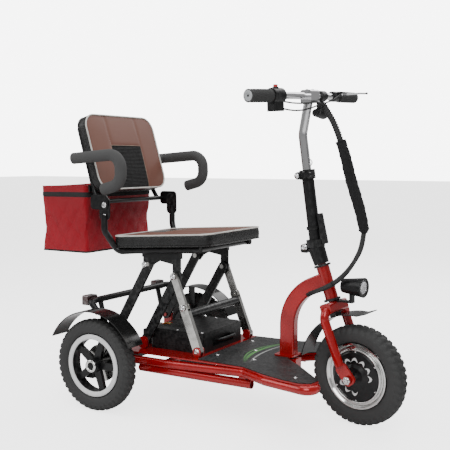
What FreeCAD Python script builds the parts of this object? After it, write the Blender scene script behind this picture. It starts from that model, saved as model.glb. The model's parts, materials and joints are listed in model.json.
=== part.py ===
import FreeCAD, Part
import math
import os
import Sketcher
from FreeCAD import Placement, Rotation, Vector

# A folding three-wheeled mobility scooter, in millimetres. It is modelled with X forward, Y to the
# rider's left and Z up, from the point on the ground below the rear axle. The last step moves the
# whole model so that its origin is on the ground at the middle of its footprint.
DIMENSIONS = {
    # running gear
    "wheelbase": 800, "track": 612, "rear_tyre_radius": 153, "rear_tyre_width": 56,
    "front_tyre_radius": 159, "front_tyre_width": 60, "rim_radius": 104, "rim_lip": 17,
    "rim_width": 38, "hub_radius": 24, "hub_width": 50, "spoke_width": 26, "spoke_thickness": 14,
    "rear_axle_radius": 8, "axle_beam_size": 38, "disc_radius": 62, "disc_thickness": 3,
    "motor_radius": 82, "motor_width": 66, "front_axle_radius": 7, "stator_radius": 62,
    "fender_gap": 26, "fender_width": 74, "fender_thickness": 3,
    # frame
    "deck_height": 190, "deck_half_width": 200, "deck_flare": 282, "plate_thickness": 4,
    "mat_thickness": 3, "rail_diameter": 28, "rail_wall": 2, "rail_drop": 35,
    "gooseneck_depth": 51, "gooseneck_width": 40, "gooseneck_radius": 150, "gooseneck_wall": 3,
    "head_tube_diameter": 41, "head_tube_bore": 33, "head_tube_length": 104, "rake": 18.4,
    "battery_length": 212, "battery_width": 262, "battery_height": 69, "lid_height": 14,
    # fork and stem
    "steerer_diameter": 25.4, "leg_diameter": 29, "leg_wall": 2.5, "leg_spread": 62,
    "stem_diameter": 38, "stem_wall": 3, "stem_tilt": 7,
    "post_diameter": 28, "post_wall": 2, "post_insertion": 95,
    "bar_diameter": 22, "bar_half_width": 285, "grip_diameter": 35, "twist_grip_diameter": 38,
    # seat linkage
    "link_length": 270, "link_lean": 30.2, "link_width": 32, "link_thickness": 11,
    "pivot_bolt_radius": 4, "strut_width": 30, "strut_wall": 2,
    # seat, backrest, arms and basket
    "seat_half_width": 190, "seat_length": 388, "seat_thickness": 42, "seat_tilt": 3.5,
    "back_half_width": 196, "back_height": 276, "back_thickness": 44, "back_lean": 16.5,
    "arm_foam_diameter": 39, "arm_reach": 185, "arm_half_spread": 250,
    "basket_length": 214, "basket_width": 384, "basket_height": 240, "basket_wall": 6,
    # clearances
    "running_gap": 0.4, "shaft_gap": 0.05, "side_gap": 1.0,
}
REST_STEER = -9.0
SIDES = (("right", -1), ("left", 1))
ALONG_Y = Rotation(Vector(1, 0, 0), -90)

DOC = FreeCAD.newDocument("Scooter")
SHEET = DOC.addObject("Spreadsheet::Sheet", "Sizes")
NODES = {}


class Size:
    """A number that keeps the sheet expression it comes from, so that a feature can be bound to it."""

    def __init__(self, value, formula):
        self.value = float(value)
        self.formula = formula

    def _with(self, other, sign, other_first=False):
        other = sized(other)
        first, second = (other, self) if other_first else (self, other)
        results = {
            "+": first.value + second.value,
            "-": first.value - second.value,
            "*": first.value * second.value,
            "/": first.value / second.value if second.value else 0.0,
        }
        return Size(results[sign], f"({first.formula} {sign} {second.formula})")

    def __add__(self, other):
        return self._with(other, "+")

    def __radd__(self, other):
        return self._with(other, "+", True)

    def __sub__(self, other):
        return self._with(other, "-")

    def __rsub__(self, other):
        return self._with(other, "-", True)

    def __mul__(self, other):
        return self._with(other, "*")

    def __rmul__(self, other):
        return self._with(other, "*", True)

    def __truediv__(self, other):
        return self._with(other, "/")

    def __neg__(self):
        return self._with(-1, "*")

    def __float__(self):
        return self.value


def sized(value):
    """A Size as it is, and a plain number as a Size of its own."""
    return value if isinstance(value, Size) else Size(value, repr(float(value)))


class Sheet:
    """The driving dimensions, read back from the spreadsheet by name."""


def fill_sheet():
    for row, (alias, value) in enumerate(DIMENSIONS.items(), 1):
        SHEET.set(f"A{row}", alias)
        SHEET.set(f"B{row}", str(value))
        SHEET.setAlias(f"B{row}", alias)
    DOC.recompute()
    for alias in DIMENSIONS:
        setattr(Sheet, alias, Size(SHEET.get(alias), f"Sizes.{alias}"))


fill_sheet()
S = Sheet


# ---------------------------------------------------------------- ways of making a piece
def bind(thing, prop, value):
    """Sets a property and ties it to the sheet."""
    value = sized(value)
    setattr(thing, prop, value.value)
    thing.setExpression(prop, value.formula)


def keep(label, thing, at=(0, 0, 0), turn=None):
    """Names a finished piece and puts it in its place."""
    thing.Label = label
    place = Placement(Vector(*map(float, at)), turn or Rotation())
    thing.Placement = place.multiply(thing.Placement)
    NODES[label] = thing
    return thing


def sketch_on(body, role):
    sketch = body.newObject("Sketcher::SketchObject", body.Name + "_sketch")
    plane = next(f for f in body.Origin.OriginFeatures if f.Role == role)
    sketch.AttachmentSupport = [(plane, "")]
    sketch.MapMode = "FlatFace"
    return sketch


def hold(sketch, edge, end, axis, value):
    """Ties one coordinate of a sketch point to a size, or to the axis where it is nought."""
    kind, datum = (("DistanceX", -2), ("DistanceY", -1))[axis]
    value = sized(value)
    if value.value == 0:
        sketch.addConstraint(Sketcher.Constraint("PointOnObject", edge, end, datum))
        return
    number = sketch.addConstraint(Sketcher.Constraint(kind, -1, 1, edge, end, value.value))
    sketch.setExpression(f"Constraints[{number}]", value.formula)


def draw_outline(sketch, points):
    """A closed outline of straight sides, every corner tied to its sizes."""
    count = len(points)
    first = sketch.GeometryCount
    corners = [Vector(float(x), float(y), 0) for x, y in points]
    for i in range(count):
        sketch.addGeometry(Part.LineSegment(corners[i], corners[(i + 1) % count]), False)
    for i in range(count):
        follower = first + (i + 1) % count
        sketch.addConstraint(Sketcher.Constraint("Coincident", first + i, 2, follower, 1))
    for i, (x, y) in enumerate(points):
        hold(sketch, first + i, 1, 0, x)
        hold(sketch, first + i, 1, 1, y)


def draw_circle(sketch, centre, radius):
    """A circle tied to its centre and radius."""
    radius = sized(radius)
    middle = Vector(float(centre[0]), float(centre[1]), 0)
    edge = sketch.addGeometry(Part.Circle(middle, Vector(0, 0, 1), radius.value), False)
    hold(sketch, edge, 3, 0, centre[0])
    hold(sketch, edge, 3, 1, centre[1])
    number = sketch.addConstraint(Sketcher.Constraint("Radius", edge, radius.value))
    sketch.setExpression(f"Constraints[{number}]", radius.formula)


def plate(name, role, points, thickness, holes=(), fillet=None, along="Z", fillet_all=False):
    """A body padded both ways from an outline, with round holes and rounded edges."""
    body = DOC.addObject("PartDesign::Body", name)
    sketch = sketch_on(body, role)
    draw_outline(sketch, points)
    for centre, radius in holes:
        draw_circle(sketch, centre, radius)
    pad = body.newObject("PartDesign::Pad", name + "_pad")
    pad.Profile = sketch
    pad.Midplane = True
    bind(pad, "Length", thickness)
    DOC.recompute()
    if fillet:
        round_edges(body, pad, fillet, along, fillet_all)
    return body


def round_edges(body, base, radius, along, every_edge=False):
    """Rounds the straight edges that run along one axis, or every edge."""
    axis = {"X": Vector(1, 0, 0), "Y": Vector(0, 1, 0), "Z": Vector(0, 0, 1)}[along]
    names = []
    for i, edge in enumerate(base.Shape.Edges, 1):
        straight = edge.Curve.TypeId == "Part::GeomLine"
        if straight and (every_edge or abs(abs(edge.Curve.Direction.dot(axis)) - 1) < 1e-6):
            names.append(f"Edge{i}")
    fillet = body.newObject("PartDesign::Fillet", body.Name + "_fillet")
    fillet.Base = (base, names)
    bind(fillet, "Radius", radius)
    DOC.recompute()
    return fillet


def turned(name, points):
    """A body turned about its own Y axis from an outline of (radius, place along the axis)."""
    body = DOC.addObject("PartDesign::Body", name)
    sketch = sketch_on(body, "XY_Plane")
    draw_outline(sketch, points)
    spin = body.newObject("PartDesign::Revolution", name + "_turn")
    spin.Profile = sketch
    spin.ReferenceAxis = (sketch, ["V_Axis"])
    spin.Angle = 360
    DOC.recompute()
    return body


def ring(name, inner, outer, low, high):
    """A turned ring with a rectangular section, or a plain disc where inner is nought."""
    return turned(name, [(inner, low), (outer, low), (outer, high), (inner, high)])


def made(label, shapes, at=(0, 0, 0), turn=None):
    """A piece from finished shapes: one solid as it is, more as a group of separate solids."""
    shapes = list(shapes)
    thing = DOC.addObject("Part::Feature", label)
    thing.Shape = shapes[0] if len(shapes) == 1 else Part.makeCompound(shapes)
    return keep(label, thing, at, turn)


def rod(start, end, radius, bore=0.0):
    """A round bar or, with a bore, a tube between two points."""
    start, end = Vector(*start), Vector(*end)
    run = end - start
    bar = Part.makeCylinder(float(radius), run.Length, start, run)
    if bore:
        bar = bar.cut(Part.makeCylinder(float(bore), run.Length, start, run))
    return bar


def block(low, high, radius=0.0, axis=None):
    """A box between two corners, its edges along one axis rounded."""
    low, high = Vector(*map(float, low)), Vector(*map(float, high))
    size = high - low
    box = Part.makeBox(size.x, size.y, size.z, low)
    if radius:
        axis = Vector(*axis)
        edges = [e for e in box.Edges if abs(abs(e.Curve.Direction.dot(axis)) - 1) < 1e-6]
        box = box.makeFillet(float(radius), edges)
    return box


def rounded_path(route, radius=None):
    """Straight runs joined by tangent arcs, and the smallest arc radius. With no radius given,
    each arc is as large as its two runs allow."""
    route = [Vector(*p) for p in route]
    edges, start, radii = [], route[0], []
    for before, corner, after in zip(route, route[1:], route[2:]):
        way_in = (corner - before).normalize()
        way_out = (after - corner).normalize()
        half = way_in.getAngle(way_out) / 2
        shorter = min((corner - before).Length, (after - corner).Length)
        bend = radius or 0.45 * shorter / math.tan(half)
        back = bend * math.tan(half)
        first = corner - way_in * back
        last = corner + way_out * back
        middle = corner + (way_out - way_in).normalize() * (bend / math.cos(half) - bend)
        if (first - start).Length > 1e-6:
            edges.append(Part.LineSegment(start, first).toShape())
        edges.append(Part.Arc(first, middle, last).toShape())
        start = last
        radii.append(bend)
    edges.append(Part.LineSegment(start, route[-1]).toShape())
    return Part.Wire(edges), min(radii) if radii else None


def pipe(route, radius, bend=None, bore=0.0):
    """A round tube along a bent path."""
    wire, _ = rounded_path(route, bend)
    start = wire.Edges[0].Vertexes[0].Point
    way = wire.Edges[0].tangentAt(wire.Edges[0].FirstParameter)
    solid = swept(wire, start, way, radius)
    if bore:
        solid = solid.cut(swept(wire, start, way, bore))
    return solid


def swept(wire, start, way, radius):
    circle = Part.Wire(Part.makeCircle(float(radius), start, way))
    solid = wire.makePipeShell([circle], True, True)
    return solid if solid.Volume > 0 else solid.reversed()


def cord(label, route, radius):
    """A hanging cable's plain solid. It reports its arcs, its length and its volume."""
    wire, smallest = rounded_path(route)
    solid = pipe(route, radius)
    expected = math.pi * radius**2 * wire.Length
    print(f"{label}: smallest arc {smallest:.0f} mm, length {wire.Length:.0f} mm,"
          f" volume {solid.Volume / expected:.3f} of its section times its length")
    return solid


def mirrored(shape):
    """The same shape on the other side of the middle plane."""
    return shape.mirror(Vector(0, 0, 0), Vector(0, 1, 0))


def both_sides(shape):
    return [shape, mirrored(shape)]


def sector(radius, inner, half_width, first, last):
    """A curved plate about the Y axis between two angles, measured from +X towards +Z."""
    face = Part.makePlane(float(radius - inner), float(2 * half_width))
    face.Placement = Placement(Vector(float(inner), -float(half_width), 0), Rotation())
    start = face.rotate(Vector(0, 0, 0), Vector(0, 1, 0), -float(first))
    return start.revolve(Vector(0, 0, 0), Vector(0, -1, 0), float(last - first))


# ---------------------------------------------------------------- where the main points are
RAKE = math.radians(S.rake.value)
STEER_UP = Vector(-math.sin(RAKE), 0, math.cos(RAKE))
STEER_FORWARD = Vector(math.cos(RAKE), 0, math.sin(RAKE))
STEER_POINT = Vector(S.wheelbase.value - 112, 0, 440)
FRONT_AXLE = Vector(S.wheelbase.value, 0, S.front_tyre_radius.value)
REAR_AXLE = Vector(0, 0, S.rear_tyre_radius.value)
HALF_TRACK = S.track.value / 2
RAIL_Z = S.deck_height.value - S.plate_thickness.value - S.mat_thickness.value - S.rail_diameter.value / 2
LEAN = math.radians(S.link_lean.value)
LINK = Vector(math.sin(LEAN), 0, math.cos(LEAN)) * S.link_length.value
REAR_FOOT = Vector(-35, 0, 243)
FRONT_FOOT = Vector(80, 0, 210)
REAR_HEAD = REAR_FOOT + LINK
FRONT_HEAD = FRONT_FOOT + LINK
STRUT_FOOT = Vector(309, 0, S.deck_height.value + 15)
STRUT_KNEE = STRUT_FOOT + (FRONT_HEAD - STRUT_FOOT) * 0.58
FOLD_PIVOT = Vector(616, 0, 549)
STEM_LEAN = math.radians(S.stem_tilt.value)
STEM_UP = Vector(-math.sin(STEM_LEAN), 0, math.cos(STEM_LEAN))
STEM_FOOT = Vector(648, 0, 551)
STEM_HEAD = STEM_FOOT + STEM_UP * 232
BAR_CENTRE = Vector(634, 0, 1025)
BACK_PIVOT = Vector(-44, 0, 674)
BACK_LEAN = math.radians(S.back_lean.value)
BACK_UP = Vector(-math.sin(BACK_LEAN), 0, math.cos(BACK_LEAN))
ARM_PIVOT = Vector(-122, 0, 832)
SEAT_TILT = math.radians(S.seat_tilt.value)
SEAT_REAR = Vector(-28, 0, 506)
BASKET_FRONT = -134.0
# layers of the linkage, outwards from the middle of the scooter
LINK_INNER = 140.0
LINK_OUTER = LINK_INNER + S.link_thickness.value
BRACKET_INNER = LINK_OUTER + S.running_gap.value
BRACKET_OUTER = BRACKET_INNER + 4
UPPER_STRUT_INNER = BRACKET_OUTER + 3
UPPER_STRUT_OUTER = UPPER_STRUT_INNER + 12
LOWER_STRUT_INNER = UPPER_STRUT_INNER - S.strut_wall.value - S.running_gap.value
LOWER_STRUT_OUTER = UPPER_STRUT_OUTER + S.strut_wall.value + S.running_gap.value


def shifted(point, x=0.0, y=0.0, z=0.0):
    return (point.x + x, point.y + y, point.z + z)


# ---------------------------------------------------------------- rear wheels and brakes
def rear_wheel(side, sign):
    """Tyre, spoked wheel and brake disc of one side, turned about the axle."""
    centre = shifted(REAR_AXLE, y=sign * HALF_TRACK)
    keep(f"rear_tyre_{side}", tyre(f"rear_tyre_{side}", S.rear_tyre_radius, S.rear_tyre_width), centre)
    wheel = spoked_wheel(f"rear_wheel_{side}")
    keep(f"rear_wheel_{side}", wheel, centre)
    inner = -sign * (S.hub_width / 2 + S.disc_thickness)
    outer = -sign * S.hub_width / 2
    disc = ring(f"brake_disc_{side}", S.rear_axle_radius + 6, S.disc_radius, inner, outer)
    keep(f"brake_disc_{side}", disc, centre)


def tyre(name, radius, width):
    """A tyre with a rounded tread and two rain grooves, seated outside the rim."""
    half = width / 2
    groove = 3.0
    upper = [
        (S.rim_radius + S.side_gap * 0.2, 0),
        (S.rim_radius + S.side_gap * 0.2, half * 0.62),
        (S.rim_radius + 8, half * 0.9),
        (S.rim_radius + 22, half),
        (radius - 18, half),
        (radius - 7, half * 0.86),
        (radius - 2, half * 0.56),
        (radius - 2 - groove, half * 0.5),
        (radius - 2 - groove, half * 0.4),
        (radius - 1, half * 0.34),
        (radius, 0),
    ]
    lower = [(r, -y) for r, y in reversed(upper[1:-1])]
    return turned(name, upper + lower)


def spoked_wheel(name):
    """A cast wheel: a grooved rim, a hub bored for the axle and five straight spokes."""
    half = S.rim_width / 2
    inner = S.rim_radius - S.rim_lip
    rim = turned(name, [
        (inner, -half), (S.rim_radius, -half), (S.rim_radius, -half + 5), (inner + 6, -half + 9),
        (inner + 6, half - 9), (S.rim_radius, half - 5), (S.rim_radius, half), (inner, half),
    ])
    hub = rim.newObject("PartDesign::Revolution", name + "_hub")
    sketch = sketch_on(rim, "XY_Plane")
    bore = S.rear_axle_radius + S.shaft_gap
    low, high = -S.hub_width / 2, S.hub_width / 2
    draw_outline(sketch, [(bore, low), (S.hub_radius, low), (S.hub_radius, high), (bore, high)])
    hub.Profile = sketch
    hub.ReferenceAxis = (sketch, ["V_Axis"])
    hub.Angle = 360
    DOC.recompute()
    sketch = sketch_on(rim, "XZ_Plane")
    near, far = S.hub_radius - 4, inner + 3
    wide = S.spoke_width / 2
    draw_outline(sketch, [(near, -wide), (far, -wide * 0.8), (far, wide * 0.8), (near, wide)])
    spoke = rim.newObject("PartDesign::Pad", name + "_spoke")
    spoke.Profile = sketch
    spoke.Midplane = True
    bind(spoke, "Length", S.spoke_thickness)
    DOC.recompute()
    spokes = rim.newObject("PartDesign::PolarPattern", name + "_spokes")
    spokes.Originals = [spoke]
    spokes.Axis = (sketch, ["V_Axis"])
    axis = next(f for f in rim.Origin.OriginFeatures if f.Role == "Y_Axis")
    spokes.Axis = (axis, [""])
    spokes.Angle = 360
    spokes.Occurrences = 5
    rim.Tip = spokes
    DOC.recompute()
    return rim


def rear_axle():
    """The square cross beam with its stub axles, and a caliper over each disc."""
    half = S.axle_beam_size.value / 2
    reach = HALF_TRACK - S.hub_width.value / 2 - 34
    beam = block((-half, -reach, REAR_AXLE.z - half), (half, reach, REAR_AXLE.z + half), 5, (0, 1, 0))
    end = HALF_TRACK + S.hub_width.value / 2 + 3
    axle = rod(shifted(REAR_AXLE, y=-end), shifted(REAR_AXLE, y=end), S.rear_axle_radius.value)
    made("rear_axle_beam", [beam.fuse(axle)])
    disc_face = HALF_TRACK - S.hub_width.value / 2
    calipers = []
    for _, sign in SIDES:
        low_y, high_y = sorted((sign * (disc_face - 24), sign * (disc_face + 9)))
        body = block((-64, low_y, REAR_AXLE.z - 56), (-26, high_y, REAR_AXLE.z - 20), 6, (0, 1, 0))
        slot_low, slot_high = sorted((sign * (disc_face - 5), sign * (disc_face + 2)))
        slot = block((-70, slot_low, REAR_AXLE.z - 60), (-20, slot_high, REAR_AXLE.z - 14))
        arm_low, arm_high = sorted((sign * (disc_face - 24), sign * (disc_face - 14)))
        arm = block((-40, arm_low, REAR_AXLE.z - 30), (-half - 0.2, arm_high, REAR_AXLE.z + 8))
        calipers.append(body.cut(slot).fuse(arm))
    made("brake_calipers", calipers)


def rear_fenders():
    """A curved guard over each rear wheel, with a stay down to the axle beam."""
    inner = S.rear_tyre_radius.value + S.fender_gap.value
    outer = inner + S.fender_thickness.value
    guards = []
    for _, sign in SIDES:
        guard = sector(outer, inner, S.fender_width.value / 2, 26, 152)
        guard.translate(Vector(*shifted(REAR_AXLE, y=sign * HALF_TRACK)))
        inside = HALF_TRACK - S.fender_width.value / 2
        low_y, high_y = sorted((sign * (inside - 3), sign * inside))
        stay = block((-14, low_y, REAR_AXLE.z + 21), (14, high_y, REAR_AXLE.z + outer - 2))
        foot_low, foot_high = sorted((sign * (inside - 60), sign * inside))
        foot = block((-14, foot_low, REAR_AXLE.z + 19.2), (14, foot_high, REAR_AXLE.z + 23))
        guards.append(guard.fuse([stay, foot]))
    made("rear_fenders", guards)


# ---------------------------------------------------------------- frame
def rail_route():
    """The left rail's path: level beside the battery, flared to the front corner, back to the neck."""
    half, flare = S.deck_half_width.value, S.deck_flare.value + 6
    corner = S.wheelbase.value - 32
    low = RAIL_Z - 11
    return [
        (S.axle_beam_size.value / 2 + 0.4, half, low), (190, half, low), (500, half, RAIL_Z),
        (600, half + 50, RAIL_Z), (corner, flare, RAIL_Z), (corner - 6, flare - 48, RAIL_Z),
        (512, 22, RAIL_Z),
    ]


def side_rails():
    """The upper tubes, one on each side of the deck."""
    radius = S.rail_diameter.value / 2
    rail = pipe(rail_route(), radius, 26.0, radius - S.rail_wall.value)
    made("side_rails", both_sides(rail))


def under_frame():
    """The short lower tubes, the cross tubes and lugs that join the rails, and the neck's footing."""
    radius = S.rail_diameter.value / 2
    low_z = RAIL_Z - S.rail_drop.value
    half = S.deck_half_width.value - 6
    wall = S.rail_wall.value
    ends = [((98, sign * half, low_z), (524, sign * half, low_z)) for _, sign in SIDES]
    tubes = [rod(start, end, radius, radius - wall) for start, end in ends]
    blanks = [rod(start, end, radius + 0.1) for start, end in ends]
    rails = both_sides(pipe(rail_route(), radius + 0.1, 26.0))
    joints = (140, 330, 490)
    crosses = []
    for x in joints:
        cross = rod((x, -half, low_z), (x, half, low_z), radius - 3, radius - 3 - wall)
        crosses.append(cross.cut(blanks))
    lugs = []
    for x in joints:
        for _, sign in SIDES:
            lug = block((x - 12, sign * half - 3, low_z + 6), (x + 12, sign * half + 3, RAIL_Z - 4))
            lugs.append(lug.cut(rails + blanks))
    spine_top = S.deck_height.value - S.plate_thickness.value - S.mat_thickness.value - 0.2
    spine = block((500, -20, low_z - 12), (590, 20, spine_top), 4, (1, 0, 0))
    spine = spine.cut(rod((490, -half, low_z), (490, half, low_z), radius - 2.9)).cut(rails)
    made("under_frame", [tube.cut(rails) for tube in tubes] + crosses + lugs + [spine])


def gooseneck():
    """The flat-sided neck that rises from the deck and curves forward into the head tube."""
    depth, radius = S.gooseneck_depth.value, S.gooseneck_radius.value
    foot_x, foot_z, knee_z = 554, S.deck_height.value + 0.2, 292
    turn = math.radians(66)
    face = neck_face(depth, radius, foot_x, foot_z, knee_z, turn)
    width = S.gooseneck_width.value
    solid = face.extrude(Vector(0, width, 0))
    solid.translate(Vector(0, -width / 2, 0))
    long_edges = [e for e in solid.Edges if abs(abs(e.CenterOfMass.y) - width / 2) < 1e-3 and e.Length > 60]
    solid = solid.makeFillet(7.0, long_edges)
    head = rod(STEER_POINT - STEER_UP * 90, STEER_POINT + STEER_UP * 90, S.head_tube_diameter.value / 2 + 0.1)
    wall = S.gooseneck_wall.value
    inside = neck_face(depth - 2 * wall, radius, foot_x, foot_z - 5, knee_z, turn)
    hollow = inside.extrude(Vector(0, width - 2 * wall, 0))
    hollow.translate(Vector(0, wall - width / 2, 0))
    parts = solid.cut(head).cut(hollow).Solids
    neck = max(parts, key=lambda s: s.Volume)
    foot = block((foot_x - 38, -32, foot_z), (foot_x + 30, 32, foot_z + 5), 6, (0, 0, 1))
    room = depth / 2 + 0.1, width / 2 + 0.1
    foot = foot.cut(block((foot_x - room[0], -room[1], 0), (foot_x + room[0], room[1], 400)))
    made("gooseneck", [neck, foot])


def neck_face(depth, radius, foot_x, foot_z, knee_z, turn):
    """The neck's side outline: a straight leg, two arcs about one centre and a straight nose."""
    centre = Vector(foot_x + radius, 0, knee_z)

    def on_arc(r, angle):
        return centre + Vector(-r * math.cos(angle), 0, r * math.sin(angle))

    outer, inner = radius + depth / 2, radius - depth / 2
    nose = Vector(math.sin(turn), 0, math.cos(turn)) * 40
    edges = [
        Part.LineSegment(Vector(foot_x - depth / 2, 0, foot_z), on_arc(outer, 0)).toShape(),
        Part.Arc(on_arc(outer, 0), on_arc(outer, turn / 2), on_arc(outer, turn)).toShape(),
        Part.LineSegment(on_arc(outer, turn), on_arc(outer, turn) + nose).toShape(),
        Part.LineSegment(on_arc(outer, turn) + nose, on_arc(inner, turn) + nose).toShape(),
        Part.LineSegment(on_arc(inner, turn) + nose, on_arc(inner, turn)).toShape(),
        Part.Arc(on_arc(inner, turn), on_arc(inner, turn / 2), on_arc(inner, 0)).toShape(),
        Part.LineSegment(on_arc(inner, 0), Vector(foot_x + depth / 2, 0, foot_z)).toShape(),
        Part.LineSegment(Vector(foot_x + depth / 2, 0, foot_z),
                         Vector(foot_x - depth / 2, 0, foot_z)).toShape(),
    ]
    return Part.Face(Part.Wire(edges))


def head_tube():
    """The head tube and the chrome cup at each of its ends, bored for the steerer."""
    half = S.head_tube_length / 2
    tube = ring("head_tube", S.head_tube_bore / 2, S.head_tube_diameter / 2, -half, half)
    lie = Rotation(Vector(0, 1, 0), STEER_UP)
    keep("head_tube", tube, STEER_POINT, lie)
    steerer = S.steerer_diameter.value / 2 + S.shaft_gap.value
    cups = []
    for sign in (-1, 1):
        face = STEER_POINT + STEER_UP * sign * float(half)
        way = STEER_UP * sign
        cup = Part.makeCylinder(S.head_tube_diameter.value / 2 + 6.5, 7, face + way * 0.1, way)
        plug = Part.makeCylinder(S.head_tube_bore.value / 2 - 0.1, 12, face - way * 11.9, way)
        cups.append(cup.fuse(plug).cut(Part.makeCylinder(steerer, 30, face - way * 15, way)))
    made("headset_cups", cups)


def deck_outline(margin):
    """Half of the deck's outline behind the front wheel, and its mirror image, kept in by a margin."""
    half, flare = S.deck_half_width + 5 - margin, S.deck_flare - margin
    tip = S.wheelbase - 38 - margin
    right = [
        (500, -half), (591, -half - 43), (667, 10 - flare), (tip - 37, -flare), (tip - 5, 14 - flare),
        (tip, 54 - flare), (648, -margin - 111), (566, -margin - 38),
    ]
    return right, [(x, -y) for x, y in reversed(right)]


def deck():
    """The foot plate, notched for the front wheel, and the mat that covers its front part."""
    top = S.deck_height - S.mat_thickness
    right, left = deck_outline(-3)
    half = S.deck_half_width + 8
    outline = [(40, -half)] + right + left + [(40, half)]
    plate_body = plate("deck_plate", "XY_Plane", outline, S.plate_thickness)
    keep("deck_plate", plate_body, (0, 0, float(top - S.plate_thickness / 2)))
    right, left = deck_outline(0)
    half = S.deck_half_width - 3
    outline = [(328, -half)] + right + left + [(328, half)]
    mat_body = plate("deck_mat", "XY_Plane", outline, S.mat_thickness - 0.2)
    keep("deck_mat", mat_body, (0, 0, float(S.deck_height - S.mat_thickness / 2)))


def power_box():
    """The battery's case and lid, and the controller behind it."""
    base = S.deck_height.value - S.mat_thickness.value + 0.2
    length, width, height = S.battery_length, S.battery_width, S.battery_height
    middle = 92 + length.value / 2
    case_height = height - S.lid_height
    corners = ((-1, -1), (1, -1), (1, 1), (-1, 1))
    outline = [(length / 2 * x, width / 2 * y) for x, y in corners]
    case = plate("battery_case", "XY_Plane", outline, case_height, fillet=12, along="Z")
    grip = case.newObject("PartDesign::Pocket", "handle_recess")
    sketch = sketch_on(case, "YZ_Plane")
    draw_outline(sketch, [(-68, -14), (68, -14), (68, 12), (-68, 12)])
    sketch.AttachmentOffset = Placement(Vector(0, 0, float(length / 2 - 22)), Rotation())
    grip.Profile = sketch
    grip.Type = 1
    grip.Reversed = True
    DOC.recompute()
    case.Tip = grip
    keep("battery_case", case, (middle, 0, base + float(case_height) / 2))
    lid = plate("battery_lid", "XY_Plane", outline, S.lid_height - 0.2, fillet=12, along="Z")
    keep("battery_lid", lid, (middle, 0, base + float(case_height) + 0.1 + float(S.lid_height) / 2))
    made("controller_box", [block((34, -95, base), (88, 95, base + 52), 6, (0, 1, 0))])


def rear_bumper():
    """The tail tube on two uprights, and the lamp at each of its ends."""
    radius, top, back, half = 11.0, 343.0, -93.0, 200.0
    end = half + 34
    tube = pipe([(back + 46, -end - 4, top - 34), (back + 10, -end, top), (back, -half, top),
                 (back, half, top), (back + 10, end, top), (back + 46, end + 4, top - 34)], radius, 16)
    foot_x, foot_z = -S.axle_beam_size.value / 2 - 1, REAR_AXLE.z + 14
    uprights = []
    for _, sign in SIDES:
        y = sign * 170
        uprights.append(pipe([(back, y, top - 9), (back + 18, y, 262), (foot_x, y, foot_z)], 9, 40))
    made("rear_bumper", [tube.fuse(uprights).cut(axle_room())])
    lamps = []
    for _, sign in SIDES:
        y = sign * half
        lamps.append(block((back - 36, y - 26, top - 17), (back - 11.3, y + 26, top + 17), 6, (1, 0, 0)))
    made("tail_lamps", lamps)


def axle_room():
    """The space the cross beam fills, a little oversize."""
    half = S.axle_beam_size.value / 2 + 0.2
    return block((-half, -300, REAR_AXLE.z - half), (half, 300, REAR_AXLE.z + half))


def linkage_lugs():
    """The welded lugs that carry the feet of the links and struts, each with its pivot pin."""
    lugs = []
    for _, sign in SIDES:
        lugs += [link_lug(foot, sign) for foot in (REAR_FOOT, FRONT_FOOT)]
        lugs.append(strut_lug(sign))
    room = [axle_room(), NODES["deck_plate"].Shape, NODES["side_rails"].Shape]
    made("link_lugs", [lug.cut(room) for lug in lugs])


def layer(sign, low, high):
    """The two sides, in rising order, of a layer on one side of the scooter."""
    return sorted((sign * low, sign * high))


def link_lug(foot, sign):
    """The ear outside one link's foot, with its pin. The rear one also reaches forward to the deck."""
    pin = S.pivot_bolt_radius.value
    floor = S.deck_height.value - S.mat_thickness.value + 0.2
    behind = foot.x < 40
    low, high = layer(sign, LINK_OUTER + S.running_gap.value, LINK_OUTER + 9)
    base = RAIL_Z - 6 if behind else floor
    ear = block((foot.x - 17, low, base), (foot.x + 17, high, foot.z + 17), 14, (0, 1, 0))
    outer = sign * (LINK_OUTER + 9)
    bolt = rod(shifted(foot, y=sign * (LINK_INNER - 4)), shifted(foot, y=outer), pin)
    head = rod(shifted(foot, y=sign * (LINK_INNER - 4.5)), shifted(foot, y=sign * (LINK_INNER - 1)), pin + 3)
    lug = ear.fuse([bolt, head])
    if behind:
        lug = lug.fuse(block((foot.x, low, RAIL_Z - 6), (60, high, RAIL_Z + 18)))
    return lug


def strut_lug(sign):
    """The two ears and the pin at one strut's foot."""
    floor = S.deck_height.value - S.mat_thickness.value + 0.2
    ears = []
    for near, far in ((LOWER_STRUT_INNER - 5.4, LOWER_STRUT_INNER - 0.4),
                      (LOWER_STRUT_OUTER + 0.4, LOWER_STRUT_OUTER + 4.4)):
        low, high = layer(sign, near, far)
        ears.append(block((STRUT_FOOT.x - 14, low, floor), (STRUT_FOOT.x + 14, high, STRUT_FOOT.z + 14),
                          12, (0, 1, 0)))
    start = shifted(STRUT_FOOT, y=sign * (LOWER_STRUT_INNER - 8))
    end = shifted(STRUT_FOOT, y=sign * (LOWER_STRUT_OUTER + 7))
    return ears[0].fuse([ears[1], rod(start, end, S.pivot_bolt_radius.value)])


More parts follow.
